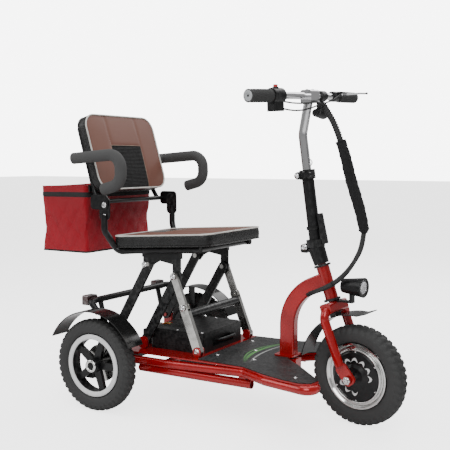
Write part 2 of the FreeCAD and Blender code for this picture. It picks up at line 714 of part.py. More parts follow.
# ---------------------------------------------------------------- front wheel, fork and lamp
def front_wheel():
    """The tyre, its polished rim and the motor's turning case, hollow round the stator."""
    keep("front_tyre", tyre("front_tyre", S.front_tyre_radius, S.front_tyre_width), FRONT_AXLE)
    half = S.rim_width / 2
    inner = S.motor_radius + S.side_gap * 0.2
    rim = turned("front_rim", [
        (inner, -half + 3), (S.rim_radius - 12, -half + 3),
        (S.rim_radius - 5, -half - 4), (S.rim_radius, -half - 4),
        (S.rim_radius, -half), (inner + 6, -half + 10), (inner + 6, half - 10), (S.rim_radius, half),
        (S.rim_radius, half + 4), (S.rim_radius - 5, half + 4),
        (S.rim_radius - 12, half - 3), (inner, half - 3),
    ])
    keep("front_rim", rim, FRONT_AXLE)
    wide, wall = S.motor_width / 2, 4
    bore = S.front_axle_radius + S.shaft_gap
    case = turned("hub_motor_case", [
        (bore, -wide), (30, -wide), (40, -wide + 6),
        (S.motor_radius - 8, -wide + 9), (S.motor_radius, -wide + 14),
        (S.motor_radius, wide - 14), (S.motor_radius - 8, wide - 9), (40, wide - 6), (30, wide), (bore, wide),
        (bore, wide - 12), (S.stator_radius + 6, wide - 14), (S.motor_radius - wall - 6, wide - 18),
        (S.motor_radius - wall - 6, 18 - wide), (S.stator_radius + 6, 14 - wide), (bore, 12 - wide),
    ])
    keep("hub_motor_case", case, FRONT_AXLE)


def front_axle():
    """The fixed motor axle with its stator and an acorn nut at each end."""
    end = S.leg_spread.value + 22
    axle = rod(shifted(FRONT_AXLE, y=-end), shifted(FRONT_AXLE, y=end), S.front_axle_radius.value)
    wide = S.motor_width.value / 2 - 18
    stator = rod(shifted(FRONT_AXLE, y=-wide), shifted(FRONT_AXLE, y=wide), S.stator_radius.value)
    nuts = []
    for _, sign in SIDES:
        y = sign * (S.leg_spread.value + 7)
        turns = [i * math.pi / 3 for i in range(7)]
        corners = [shifted(FRONT_AXLE, 13 * math.cos(a), y, 13 * math.sin(a)) for a in turns]
        nuts.append(Part.Face(Part.Wire(Part.makePolygon(corners))).extrude(Vector(0, sign * 9, 0)))
    made("front_axle", [axle.fuse([stator] + nuts)])


def crown_point():
    """The middle of the fork crown, below the head tube on the steering axis."""
    return STEER_POINT - STEER_UP * (S.head_tube_length.value / 2 + 22)


def fork_leg(sign, radius):
    """One bent leg as a solid bar, from the crown to its dropout."""
    spread = S.leg_spread.value
    shoulder = crown_point() - STEER_UP * 4
    foot = (FRONT_AXLE.x - 32, sign * spread, FRONT_AXLE.z + 37)
    knee = (STEER_POINT.x + 28, sign * spread, STEER_POINT.z - 108)
    turn = (shoulder.x + 2, sign * spread, shoulder.z - 8)
    return pipe([(shoulder.x, sign * 30, shoulder.z), turn, knee, foot], radius, 30)


def fork():
    """The steerer and crown, and the bent legs with their dropout plates."""
    top = STEER_POINT + STEER_UP * (S.head_tube_length.value / 2 + 16)
    steerer = rod(crown_point(), top, S.steerer_diameter.value / 2)
    bridge = block((-19, -52, -22), (19, 52, 12), 8, (0, 1, 0))
    bridge.Placement = Placement(crown_point(), Rotation(Vector(0, 0, 1), STEER_UP))
    radius = S.leg_diameter.value / 2
    spread = S.leg_spread.value
    axle = rod(shifted(FRONT_AXLE, y=-200), shifted(FRONT_AXLE, y=200), S.front_axle_radius.value + 0.1)
    legs = []
    for _, sign in SIDES:
        low, high = layer(sign, spread - 4, spread + 4)
        dropout = block((-20, low, -18), (20, high, 54), 14, (0, 1, 0))
        dropout.Placement = Placement(FRONT_AXLE, Rotation(Vector(0, 1, 0), -40))
        bridge = bridge.cut(fork_leg(sign, radius + 0.1))
        legs.append(fork_leg(sign, radius).fuse(dropout).cut(axle))
    made("fork_crown", [bridge.fuse(steerer)])
    made("fork_legs", legs)


def front_fender():
    """The front guard with its flared tip, hung from the fork crown by a bracket."""
    inner = S.front_tyre_radius.value + S.fender_gap.value + 8
    outer = inner + S.fender_thickness.value
    half = S.fender_width.value / 2
    first, last, flare = 86, 168, 22
    guard = sector(outer, inner, half, first, last)
    across = Vector(0, 1, 0)
    tip = block((inner, -half, -32), (outer, half, 2))
    tip.rotate(Vector(0, 0, 0), across, -first)
    tip.rotate(Rotation(across, -first).multVec(Vector(inner, 0, 0)), across, -flare)
    guard = guard.fuse(tip)
    guard.translate(FRONT_AXLE)
    top = FRONT_AXLE + Vector(-0.42, 0, 0.907) * (inner + 1)
    bracket = block((-12, -16, 0), (12, 16, 24))
    bracket.Placement = Placement(top, Rotation(Vector(0, 0, 1), crown_point() - top))
    made("front_fender", [guard.fuse(bracket).cut(NODES["fork_crown"].Shape)])


def headlamp():
    """The lamp's barrel with its peak and bracket, and the lens set in its mouth."""
    back, front, z = S.wheelbase.value - 52, S.wheelbase.value + 20, 436
    barrel = Part.makeCone(22, 31, front - back, Vector(back, 0, z), Vector(1, 0, 0))
    bowl = Part.makeCylinder(28.5, 16, Vector(front - 14, 0, z), Vector(1, 0, 0))
    peak = Part.makeCylinder(33.5, 46, Vector(front - 30, 0, z), Vector(1, 0, 0))
    peak = peak.cut(Part.makeCylinder(31.2, 60, Vector(front - 36, 0, z), Vector(1, 0, 0)))
    peak = peak.common(block((back, -40, z + 16), (front + 20, 40, z + 40)))
    bracket = block((crown_point().x + 14, -9, z - 52), (back + 34, 9, z - 46))
    post = block((back + 24, -9, z - 52), (back + 34, 9, z - 20))
    shell = barrel.cut(bowl).fuse([peak, bracket, post]).cut(NODES["fork_crown"].Shape)
    shell = shell.cut(NODES["front_fender"].Shape)
    made("headlamp_shell", [max(shell.Solids, key=lambda s: s.Volume)])
    lens = turned("headlamp_lens", [(0, 0), (28, 0), (28, 6), (20, 11), (0, 13)])
    keep("headlamp_lens", lens, (front - 13.5, 0, z), Rotation(Vector(0, 1, 0), Vector(1, 0, 0)))


# ---------------------------------------------------------------- stem and handlebar
def stem():
    """The socket on the steerer, the folding stem tube above it and the clamp at its top."""
    base = STEER_POINT + STEER_UP * (S.head_tube_length.value / 2 + 9)
    split = STEM_FOOT
    lower = Part.makeCone(24, 27, (split - base).Length - 1, base, split - base)
    steerer_hole = Part.makeCylinder(S.steerer_diameter.value / 2 + 0.1, 40, base - STEER_UP * 10, STEER_UP)
    lower = lower.cut(steerer_hole)
    ears = [block((-16, y - 4, -18), (12, y + 4, 8), 6, (0, 1, 0)) for y in (-13, 13)]
    for ear in ears:
        ear.translate(FOLD_PIVOT)
    pin = rod(shifted(FOLD_PIVOT, y=-22), shifted(FOLD_PIVOT, y=22), 4)
    made("stem_socket", [lower.fuse(ears + [pin]).cut(folding_room())])
    made("stem_tube", [stem_blank(0.0).cut(stem_bore())])
    radius = S.stem_diameter.value / 2
    top = STEM_HEAD - STEM_UP * 16
    collar = Part.makeCylinder(radius + 6, 30, top, STEM_UP).cut(
        Part.makeCylinder(S.post_diameter.value / 2 + S.running_gap.value, 40, top - STEM_UP * 4, STEM_UP))
    collar = collar.cut(Part.makeCylinder(radius + 0.1, 16.1, top - STEM_UP * 0.1, STEM_UP))
    lug = block((-12, -radius - 26, 2), (12, -radius + 2, 26), 5, (0, 1, 0))
    lug.Placement = Placement(top, Rotation(Vector(0, 0, 1), STEM_UP))
    lug = lug.cut(Part.makeCylinder(radius + 3, 60, top - STEM_UP * 4, STEM_UP))
    made("stem_clamp", [collar.fuse(lug)])


def folding_room():
    """The space that the stem's foot passes through as it folds back over the deck."""
    room = []
    for angle in range(0, 67, 6):
        blank = stem_blank(0.5)
        blank.rotate(FOLD_PIVOT, Vector(0, -1, 0), angle)
        room.append(blank)
    return room


def stem_blank(gap):
    """The stem tube as a solid bar with its fold knuckle and stop ring; gap swells it all over."""
    radius = S.stem_diameter.value / 2
    tube = Part.makeCylinder(radius + gap, 216 + gap, STEM_FOOT - STEM_UP * gap, STEM_UP)
    cup = Part.makeCylinder(29 + gap, 24 + gap, STEM_FOOT - STEM_UP * gap, STEM_UP)
    stop = Part.makeCylinder(radius + 4 + gap, 10, STEM_FOOT + STEM_UP * 56, STEM_UP)
    knuckle = block((-11 - gap, -8 - gap, -11 - gap), (34, 8 + gap, 11 + gap), 8, (0, 1, 0))
    knuckle.translate(FOLD_PIVOT)
    return tube.fuse([cup, stop, knuckle])


def stem_bore():
    """The hollow that the post slides in, and the bore for the fold pin."""
    radius = S.post_diameter.value / 2 + S.running_gap.value
    post = Part.makeCylinder(radius, 200, STEM_FOOT + STEM_UP * 24, STEM_UP)
    pin = rod(shifted(FOLD_PIVOT, y=-40), shifted(FOLD_PIVOT, y=40), 4 + S.shaft_gap.value)
    return post.fuse(pin)


def levers():
    """The fold latch in front of the stem and the quick-release lever on its clamp."""
    hinge = STEM_FOOT + STEM_UP * 14 + Vector(36, 0, 4)
    lever = block((-5, -11, -6), (5, 11, 92), 4, (0, 1, 0))
    lever.Placement = Placement(hinge, Rotation(Vector(0, 1, 0), -12))
    lever = lever.cut(Part.makeCylinder(29.6, 30, STEM_FOOT - STEM_UP * 2, STEM_UP))
    ring_room = S.stem_diameter.value / 2 + 4.6
    lever = lever.cut(Part.makeCylinder(ring_room, 12, STEM_FOOT + STEM_UP * 55, STEM_UP))
    made("fold_latch", [max(lever.Solids, key=lambda s: s.Volume)])
    top = STEM_HEAD - STEM_UP * 2
    radius = S.stem_diameter.value / 2
    lie = Rotation(Vector(0, 0, 1), STEM_UP)
    knob = Part.makeCylinder(11, 12, Vector(0, -radius - 39, 0), Vector(0, 1, 0))
    handle = block((0, -radius - 37, -7), (46, -radius - 28, 7), 5, (0, 1, 0))
    lever = knob.fuse(handle)
    lever.Placement = Placement(top, lie)
    made("clamp_lever", [lever])


def handlebar():
    """The bent post, the bar on its clamp, and what is fixed to the bar."""
    low = STEM_HEAD - STEM_UP * S.post_insertion.value
    bend = STEM_HEAD + STEM_UP * 126
    top = BAR_CENTRE - Vector(6, 0, 16)
    radius = S.post_diameter.value / 2
    post = pipe([low, bend, top], radius, 60, radius - S.post_wall.value)
    bar_radius = S.bar_diameter.value / 2
    half = S.bar_half_width.value
    route = [bar_point(half), bar_point(96), bar_point(-96), bar_point(-half)]
    bar = pipe(route, bar_radius, 60)
    clamp = block((-20, -24, -22), (20, 24, 19), 8, (0, 1, 0))
    clamp.translate(BAR_CENTRE)
    made("bar_post", [post.cut(clamp).cut(bar)])
    made("handlebar", [clamp.fuse(bar)])
    grip = S.grip_diameter.value / 2
    way = (bar_point(half) - bar_point(96)).normalize()
    end = bar_point(half)
    sleeve = Part.makeCylinder(grip, 118, end - way * 112, way).cut(
        Part.makeCylinder(bar_radius + 0.1, 112.1, end - way * 112.1, way))
    made("left_grip", [sleeve])
    perch_at = end - way * 140
    perch = Part.makeCylinder(17, 26, perch_at - way * 13, way).cut(
        Part.makeCylinder(bar_radius + 0.1, 40, perch_at - way * 20, way))
    arm = block((0, -13, -7), (38, 13, 7), 5, (0, 0, 1)).cut(block((12, -30, -4.4), (60, 30, 4.4)))
    arm.Placement = Placement(perch_at + Vector(11, 0, 6), Rotation(Vector(1, 0, 0), Vector(1, -0.14, 0)))
    bar_hole = Part.makeCylinder(bar_radius + 0.1, 60, perch_at - way * 30, way)
    made("bar_fittings", [perch.fuse(arm).cut(bar_hole), horn()])
    lever_root = perch_at + Vector(38, 0, 6)
    lever_end = [lever_root + Vector(20, 70, 3), lever_root + Vector(8, 126, 4)]
    lever = pipe([lever_root, lever_root + Vector(18, 26, 1)] + lever_end,
                 3.2, 24)
    eye = Part.makeCylinder(8, 6, lever_root - Vector(0, 0, 3), Vector(0, 0, 1))
    made("brake_lever", [lever.fuse(eye)])


def horn():
    """The horn's clamp on the bar and its rounded body below."""
    at = bar_point(66)
    across = Vector(0, 1, 0)
    clamp = Part.makeCylinder(17, 26, at - across * 13, across)
    body = Part.makeCone(12, 21, 46, at + Vector(-8, -26, -52), across)
    body = body.fuse(Part.makeSphere(21, at + Vector(-8, 20, -52)))
    neck = block((-14, -8, -44), (2, 10, -10))
    neck.translate(at)
    hole = Part.makeCylinder(S.bar_diameter.value / 2 + 0.1, 60, at - across * 30, across)
    return clamp.fuse([neck, body]).cut(hole)


def bar_point(y):
    """A point on the bar's centre line: straight in the middle, swept back outside the bends."""
    sweep = max(0.0, abs(y) - 96) * math.tan(math.radians(5))
    return BAR_CENTRE + Vector(-sweep, y, -0.1 * sweep)


def throttle():
    """The right-hand twist grip, its housing with the switch box, and the red button on top."""
    half = S.bar_half_width.value
    way = (bar_point(-half) - bar_point(-96)).normalize()
    end = bar_point(-half)
    bar_radius = S.bar_diameter.value / 2
    bore = Part.makeCylinder(bar_radius + 0.1, 300, end - way * 200, way)
    grip = Part.makeCylinder(S.twist_grip_diameter.value / 2, 92, end - way * 88, way).cut(
        Part.makeCylinder(bar_radius + S.running_gap.value, 88.5, end - way * 88.5, way))
    made("throttle_grip", [grip])
    at = end - way * 90
    housing = Part.makeCylinder(23, 46, at - way * 46, way)
    switch = block((-22, -20, -46), (14, 22, -6), 5, (0, 0, 1))
    switch.Placement = Placement(at - way * 24, Rotation(Vector(0, -1, 0), way))
    pocket = Part.makeCylinder(7.5, 30, at - way * 22 + Vector(0, 0, 12), Vector(0, 0, 1))
    made("throttle_housing", [housing.fuse(switch).cut(bore).cut(pocket)])
    button = Part.makeCylinder(7, 16, at - way * 22 + Vector(0, 0, 16), Vector(0, 0, 1))
    made("power_button", [button])


HARNESS_TOP = [(666, 0, 1001), (685, 0, 973), (711, 0, 931), (728, 0, 884)]
HARNESS_SLEEVE = [(728, 0, 884), (745, 0, 836), (759, 0, 778), (778, 0, 720), (797, 0, 664), (808, 0, 612)]
HARNESS_TAIL = [
    (808, 0, 607), (806, -6, 562), (788, -20, 516), (762, -36, 474), (728, -46, 444), (690, -46, 424),
    (656, -36, 410), (628, -14, 398),
]


def harness():
    """The cables from the bar to the neck: wrapped at the top, sleeved in the middle, loose below."""
    top = cord("harness wrap", HARNESS_TOP, 10)
    sleeve = cord("harness sleeve", HARNESS_SLEEVE, 17)
    tail = cord("harness tail", HARNESS_TAIL, 8)
    top = top.cut(sleeve).cut(NODES["handlebar"].Shape).cut(NODES["bar_post"].Shape)
    made("harness_upper", [top, sleeve])
    made("harness_lower", [tail.cut(NODES["gooseneck"].Shape)])


# ---------------------------------------------------------------- seat linkage
def flat_link(name, foot, head, inner, outer, width, hole, end=None):
    """A flat bar with rounded ends between two pivots, bored at each."""
    length = (head - foot).Length
    half = width / 2
    bar = block((-half, inner, -half), (half, outer, length + half), half - 0.1, (0, 1, 0))
    for z in (0, length):
        bar = bar.cut(rod((0, inner - 1, z), (0, outer + 1, z), hole))
    bar.Placement = Placement(foot, Rotation(Vector(0, 0, 1), head - foot))
    return bar


def links():
    """The two links on each side, alike in length so that the seat stays level."""
    hole = S.pivot_bolt_radius.value + S.shaft_gap.value
    width = S.link_width.value
    for name, foot, head in (("front_links", FRONT_FOOT, FRONT_HEAD), ("rear_links", REAR_FOOT, REAR_HEAD)):
        link = flat_link(name, foot, head, LINK_INNER, LINK_OUTER, width, hole)
        made(name, both_sides(link))


def struts():
    """The locking struts in two halves that hinge at the knee, and the bar that frees them."""
    pin = S.pivot_bolt_radius.value
    wall, width = S.strut_wall.value, S.strut_width.value
    half = width / 2
    way = (STRUT_KNEE - STRUT_FOOT).normalize()
    lie = Rotation(Vector(0, 0, 1), way)
    lower_length = (STRUT_KNEE - STRUT_FOOT).Length
    body = block((-half, LOWER_STRUT_INNER, -12),
                 (half, LOWER_STRUT_OUTER, lower_length + 13), 10, (0, 1, 0))
    inner, outer = LOWER_STRUT_INNER + wall, LOWER_STRUT_OUTER - wall
    hollow = block((-half - 1, inner, -30), (half - wall, outer, lower_length + 40))
    knee_room = rod((0, inner, lower_length), (0, outer, lower_length), 21)
    lower = body.cut(hollow).cut(knee_room)
    lower = lower.cut(rod((0, 100, 0), (0, 200, 0), pin + S.shaft_gap.value))
    knee_pin = rod((0, LOWER_STRUT_INNER - 3, lower_length), (0, LOWER_STRUT_OUTER + 3, lower_length), pin)
    lower = lower.fuse(knee_pin)
    lower.Placement = Placement(STRUT_FOOT, lie)
    made("strut_lower", both_sides(lower))
    upper_length = (FRONT_HEAD - STRUT_KNEE).Length
    body = block((-half + 3, UPPER_STRUT_INNER, -12),
                 (half - 3, UPPER_STRUT_OUTER, upper_length + 13), 10, (0, 1, 0))
    hollow = block((-half, UPPER_STRUT_INNER + wall, 20),
                   (half - 3 - wall, UPPER_STRUT_OUTER - wall, upper_length - 14))
    upper = body.cut(hollow).cut(rod((0, 100, 0), (0, 200, 0), pin + S.shaft_gap.value))
    stub = rod((0, UPPER_STRUT_INNER - 0.8, upper_length), (0, UPPER_STRUT_OUTER + 4, upper_length), pin + 2)
    upper = upper.fuse(stub)
    upper.Placement = Placement(STRUT_KNEE, lie)
    made("strut_upper", both_sides(upper))
    bar_at = STRUT_KNEE - way * 24
    edge = LOWER_STRUT_INNER - 0.2
    bar = rod(shifted(bar_at, y=-edge), shifted(bar_at, y=edge), 14, 12)
    made("release_bar", [bar])


def seat_brackets():
    """The arched side plates under the seat, flanged inwards at the front, with the link bolts."""
    gap = 0.2
    top_rear = SEAT_REAR + Vector(110, 0, -2)
    top_front = SEAT_REAR + Vector(262, 0, 7)
    foot = S.link_width.value / 2
    outline = [
        (top_rear.x, top_rear.z), (REAR_HEAD.x - foot - 4, REAR_HEAD.z - 16),
        (REAR_HEAD.x + foot - 4, REAR_HEAD.z - 18),
        (REAR_HEAD.x + foot + 12, REAR_HEAD.z + 2), (REAR_HEAD.x + foot + 34, REAR_HEAD.z + 14),
        (FRONT_HEAD.x - foot + 2, FRONT_HEAD.z + 38), (FRONT_HEAD.x - foot + 2, FRONT_HEAD.z - 18),
        (FRONT_HEAD.x + foot + 2, FRONT_HEAD.z - 18), (top_front.x, top_front.z),
    ]
    holes = [((p.x, p.z), S.pivot_bolt_radius + 0.1) for p in (REAR_HEAD, FRONT_HEAD)]
    sides = []
    for side, sign in SIDES:
        side_plate = plate(f"bracket_{side}", "XZ_Plane", outline, BRACKET_OUTER - BRACKET_INNER, holes)
        shape = side_plate.Shape.copy()
        shape.translate(Vector(0, sign * (BRACKET_OUTER + BRACKET_INNER) / 2, 0))
        sides.append(shape)
    made("seat_brackets", sides)
    bolts = []
    pin = S.pivot_bolt_radius.value
    for _, sign in SIDES:
        for head in (REAR_HEAD, FRONT_HEAD):
            end, face = sign * (LINK_INNER - 5), sign * (BRACKET_OUTER + gap)
            shank = rod(shifted(head, y=end), shifted(head, y=face), pin)
            inner = rod(shifted(head, y=end - sign), shifted(head, y=end + sign * 4), pin + 4)
            outer = rod(shifted(head, y=face), shifted(head, y=sign * (BRACKET_OUTER + 1.8)),
                        pin + 3)
            bolts.append(shank.fuse([inner, outer]))
    made("pivot_bolts", bolts)


def seat():
    """The tube frame under the seat, which turns up behind it, and the cushion on its board."""
    tilt = Rotation(Vector(0, 1, 0), -S.seat_tilt.value)
    length, half = S.seat_length, S.seat_half_width
    outline = [(0, -half), (length, -half), (length, half), (0, half)]
    cushion = plate("seat_cushion", "XY_Plane", outline, S.seat_thickness, fillet=34, along="Z")
    middle = tilt.multVec(Vector(0, 0, S.seat_thickness.value / 2 + 20.5))
    keep("seat_cushion", cushion, SEAT_REAR + middle, tilt)
    radius = 11.0
    tubes = []
    spread = 176
    for _, sign in SIDES:
        hinge = Vector(BACK_PIVOT.x - 2, sign * 202, BACK_PIVOT.z - 20)
        run = [Vector(60, sign * (spread - 12), 521), Vector(318, sign * (spread - 12), 537)]
        drop = Vector(BACK_PIVOT.x - 2, sign * 202, 586)
        tubes.append(pipe([hinge, drop, Vector(-8, sign * spread, 515)] + run, radius, 30))
    front = rod((300, -spread + 12, 536), (300, spread - 12, 536), radius - 1)
    back = rod((96, -spread + 12, 523), (96, spread - 12, 523), radius - 1)
    cheeks = []
    for _, sign in SIDES:
        low_y, high_y = sorted((sign * 197, sign * 201))
        cheek = block((-24, low_y, -52), (20, high_y, 26), 16, (0, 1, 0))
        cheek.translate(BACK_PIVOT)
        cheek = cheek.cut(rod(shifted(BACK_PIVOT, y=-300), shifted(BACK_PIVOT, y=300), 5 + S.shaft_gap.value))
        cheeks.append(cheek)
    rails = []
    for _, sign in SIDES:
        middle = sign * BRACKET_INNER
        rails.append(block((SEAT_REAR.x + 108, middle - 8, 501), (SEAT_REAR.x + 262, middle + 8, 526)))
    frame = tubes[0].fuse([tubes[1], front, back] + cheeks + rails)
    frame = frame.cut(NODES["seat_brackets"].Shape).cut(NODES["seat_cushion"].Shape)
    clearing = []
    for _, sign in SIDES:
        clearing.append(rod(shifted(BACK_PIVOT, y=sign * 201.5), shifted(BACK_PIVOT, y=sign * 220), 34))
    made("seat_frame", [frame.cut(clearing)])


def backrest():
    """The upright tubes with their pivots, the padded back, the armrests and the basket."""
    lean = Rotation(Vector(0, 1, 0), -S.back_lean.value)
    half, tall, thick = S.back_half_width, S.back_height, S.back_thickness
    outline = [(-half, 0), (half, 0), (half, tall), (-half, tall)]
    pad = plate("backrest_cushion", "YZ_Plane", outline, thick, fillet=44, along="X")
    foot = BACK_PIVOT + BACK_UP * 52
    set_back = lean.multVec(Vector(-S.back_thickness.value / 2 - 1, 0, 0))
    keep("backrest_cushion", pad, foot + set_back, lean)
    radius = 8.0
    behind = lean.multVec(Vector(-S.back_thickness.value - radius - 3, 0, 0))
    low = Vector(BACK_PIVOT.x - 48, 0, BACK_PIVOT.z + 8)
    knee = BACK_PIVOT + BACK_UP * 60 + behind
    high = BACK_PIVOT + BACK_UP * 288 + behind
    arm_line = BACK_PIVOT + BACK_UP * ((ARM_PIVOT.z - BACK_PIVOT.z + 16) / math.cos(BACK_LEAN)) + behind
    parts = []
    for _, sign in SIDES:
        y = sign * 170
        rail = pipe([shifted(low, y=y), shifted(knee, y=y), shifted(high, y=y)], radius, 40)
        near, far = layer(sign, 201.9, 206)
        ear = block((-58, near, -16), (16, far, 34), 14, (0, 1, 0))
        ear.translate(BACK_PIVOT)
        pin = rod(shifted(BACK_PIVOT, y=sign * 192), shifted(BACK_PIVOT, y=sign * 210), 5)
        tie = rod(shifted(low, y=sign * 166), shifted(low, y=sign * 203), 7)
        near, far = layer(sign, 197.5, 202)
        arm_plate = block((arm_line.x - 8, near, ARM_PIVOT.z - 11), (ARM_PIVOT.x + 11, far, ARM_PIVOT.z + 11),
                          8, (0, 1, 0))
        arm_tie = rod(shifted(arm_line, y=y, z=-4), shifted(arm_line, y=sign * 200, z=-4), 6)
        arm_pin = rod(shifted(ARM_PIVOT, y=sign * 198), shifted(ARM_PIVOT, y=sign * 256), 7)
        parts += [rail, ear, pin, tie, arm_plate, arm_tie, arm_pin]
    cross = rod(shifted(low, y=-180), shifted(low, y=180), radius)
    hanger = block((BASKET_FRONT + 3, -182, 716), (BASKET_FRONT + 8, 182, 740))
    frame = cross.fuse(parts + [hanger]).cut(NODES["backrest_cushion"].Shape)
    made("backrest_frame", [max(frame.Solids, key=lambda s: s.Volume)])


def armrests():
    """A foam-covered hook on each side, bored for the pin it swings up on."""
    radius = S.arm_foam_diameter.value / 2
    reach = S.arm_reach.value
    for side, sign in SIDES:
        y = sign * S.arm_half_spread.value
        rear = Vector(ARM_PIVOT.x - 14, y, ARM_PIVOT.z - 1)
        arm = pipe([rear, Vector(ARM_PIVOT.x + reach, y, ARM_PIVOT.z + 14),
                    Vector(ARM_PIVOT.x + reach + 2, y, ARM_PIVOT.z - 84),
                    Vector(ARM_PIVOT.x + reach - 72, y, ARM_PIVOT.z - 104)], radius, 44)
        hub = rod(shifted(ARM_PIVOT, y=sign * 208), shifted(ARM_PIVOT, y=sign * 258), 15)
        hole = rod(shifted(ARM_PIVOT, y=sign * 180), shifted(ARM_PIVOT, y=sign * 257), 7 + S.shaft_gap.value)
        made(f"armrest_{side}", [arm.fuse(hub).cut(hole)])


def basket():
    """The soft box hung behind the back, open at the top, and the hooks that carry it."""
    front, back = BASKET_FRONT, BASKET_FRONT - S.basket_length.value
    half, wall = S.basket_width.value / 2, S.basket_wall.value
    base, rim = 500.0, 500.0 + S.basket_height.value
    outer = block((back, -half, base), (front, half, rim), 14, (0, 0, 1))
    inner = block((back + wall, wall - half, base + wall), (front - wall, half - wall, rim + 5), 9, (0, 0, 1))
    hooks = []
    for _, sign in SIDES:
        low, high = layer(sign, 70, 92)
        plate_part = block((front + 0.1, low, 708), (front + 2.5, high, 746))
        cap = block((front + 0.1, low, 743), (front + 14, high, 746))
        lip = block((front + 12, low, 729), (front + 14, high, 746))
        hooks.append(plate_part.fuse([cap, lip]))
    made("basket", [outer.cut(inner)] + hooks)


# ---------------------------------------------------------------- the whole scooter
STEERING_NODES = (
    "fork_crown", "fork_legs", "front_axle", "front_fender", "headlamp_shell", "headlamp_lens", "stem_socket",
    "front_tyre", "front_rim", "hub_motor_case", "stem_tube", "stem_clamp", "fold_latch", "clamp_lever",
    "bar_post", "handlebar", "throttle_housing", "left_grip", "bar_fittings", "throttle_grip", "brake_lever",
    "power_button",
)


def steer(nodes):
    """Turns the whole steering group about the head tube, as it stands at rest."""
    turn = Placement(Vector(0, 0, 0), Rotation(STEER_UP, REST_STEER), STEER_POINT)
    for label in nodes:
        thing = NODES[label]
        thing.Placement = turn.multiply(thing.Placement)


def centre_on_ground():
    """Moves every piece so that the origin is under the middle of the footprint."""
    DOC.recompute()
    front = NODES["front_tyre"].Shape.BoundBox.XMax
    back = NODES["basket"].Shape.BoundBox.XMin
    offset = Vector(-(front + back) / 2, 0, 0)
    for thing in NODES.values():
        thing.Placement = Placement(offset, Rotation()).multiply(thing.Placement)
    print(f"origin is {-offset.x:.2f} mm ahead of the rear axle")
    return offset


def check_and_write():
    DOC.recompute()
    for thing in DOC.Objects:
        if {"Invalid", "Error"} & set(thing.State):
            raise SystemExit(f"{thing.Label} failed: {thing.State}")
    os.makedirs("parts", exist_ok=True)
    for label, thing in NODES.items():
        if thing.Shape.isNull() or not thing.Shape.isValid() or thing.Shape.Volume <= 0:
            raise SystemExit(f"{label} has no valid shape")
        thing.Shape.exportStep(f"parts/{label}.step")
    print(f"{len(NODES)} pieces written")


def build():
    for side, sign in SIDES:
        rear_wheel(side, sign)
    rear_axle()
    rear_fenders()
    side_rails()
    under_frame()
    gooseneck()
    head_tube()
    deck()
    power_box()
    rear_bumper()
    linkage_lugs()
    front_wheel()
    front_axle()
    fork()
    front_fender()
    headlamp()
    stem()
    levers()
    handlebar()
    throttle()
    links()
    struts()
    seat_brackets()
    seat()
    backrest()
    armrests()
    basket()
    steer(STEERING_NODES)
    DOC.recompute()
    harness()
    OFFSET[:] = centre_on_ground()
    check_and_write()


OFFSET = [0.0, 0.0, 0.0]
build()
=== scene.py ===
import json
import logging
import math
from dataclasses import dataclass, field
from enum import Enum
from typing import Callable, Optional, Sequence

import bmesh
import bpy
from mathutils import Matrix, Vector


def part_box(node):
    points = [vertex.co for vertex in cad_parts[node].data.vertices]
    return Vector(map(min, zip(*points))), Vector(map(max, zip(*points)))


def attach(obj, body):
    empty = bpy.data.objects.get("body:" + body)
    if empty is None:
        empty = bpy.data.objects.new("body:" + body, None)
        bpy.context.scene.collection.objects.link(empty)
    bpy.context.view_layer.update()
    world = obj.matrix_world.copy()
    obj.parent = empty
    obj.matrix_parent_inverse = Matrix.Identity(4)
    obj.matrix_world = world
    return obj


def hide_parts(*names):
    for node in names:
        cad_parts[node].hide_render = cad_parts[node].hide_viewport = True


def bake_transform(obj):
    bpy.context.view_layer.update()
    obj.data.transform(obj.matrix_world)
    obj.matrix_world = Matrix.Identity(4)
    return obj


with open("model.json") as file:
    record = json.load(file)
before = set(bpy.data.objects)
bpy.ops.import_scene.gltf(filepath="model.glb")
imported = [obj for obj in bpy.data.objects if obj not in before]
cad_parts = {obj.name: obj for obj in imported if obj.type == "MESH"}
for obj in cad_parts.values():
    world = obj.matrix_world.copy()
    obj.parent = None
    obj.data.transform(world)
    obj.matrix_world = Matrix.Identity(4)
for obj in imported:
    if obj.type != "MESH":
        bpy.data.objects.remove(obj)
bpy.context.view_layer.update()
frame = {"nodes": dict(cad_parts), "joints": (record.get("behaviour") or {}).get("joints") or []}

logging.basicConfig(level=logging.INFO, format="%(message)s")
LOG = logging.getLogger("scooter")

Point = tuple[float, float, float]
Colour = tuple[float, float, float]

# The rear axle stands behind the origin, which is under the middle of the footprint.
REAR_X = -0.30478
SIDES = (("right", -1), ("left", 1))


def joint_of(name: str) -> dict:
    """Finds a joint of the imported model.

    Args:
        name: the joint's name.

    Returns:
        The joint's entry in the record.
    """
    return next(j for j in frame["joints"] if j["name"] == name)


STEER_TURN = Matrix.Rotation(math.radians(-9.0), 4, Vector(joint_of("steering")["axis"]))
STEER_CENTRE = Vector(joint_of("steering")["pos_m"])


def steered(point: Sequence[float]) -> Vector:
    """Turns a point of the straight-ahead steering group to where it stands at rest.

    Args:
        point: the place in the row frame with the bar straight ahead.

    Returns:
        The same point with the bar turned.
    """
    return STEER_CENTRE + STEER_TURN.to_3x3() @ (Vector(point) - STEER_CENTRE)


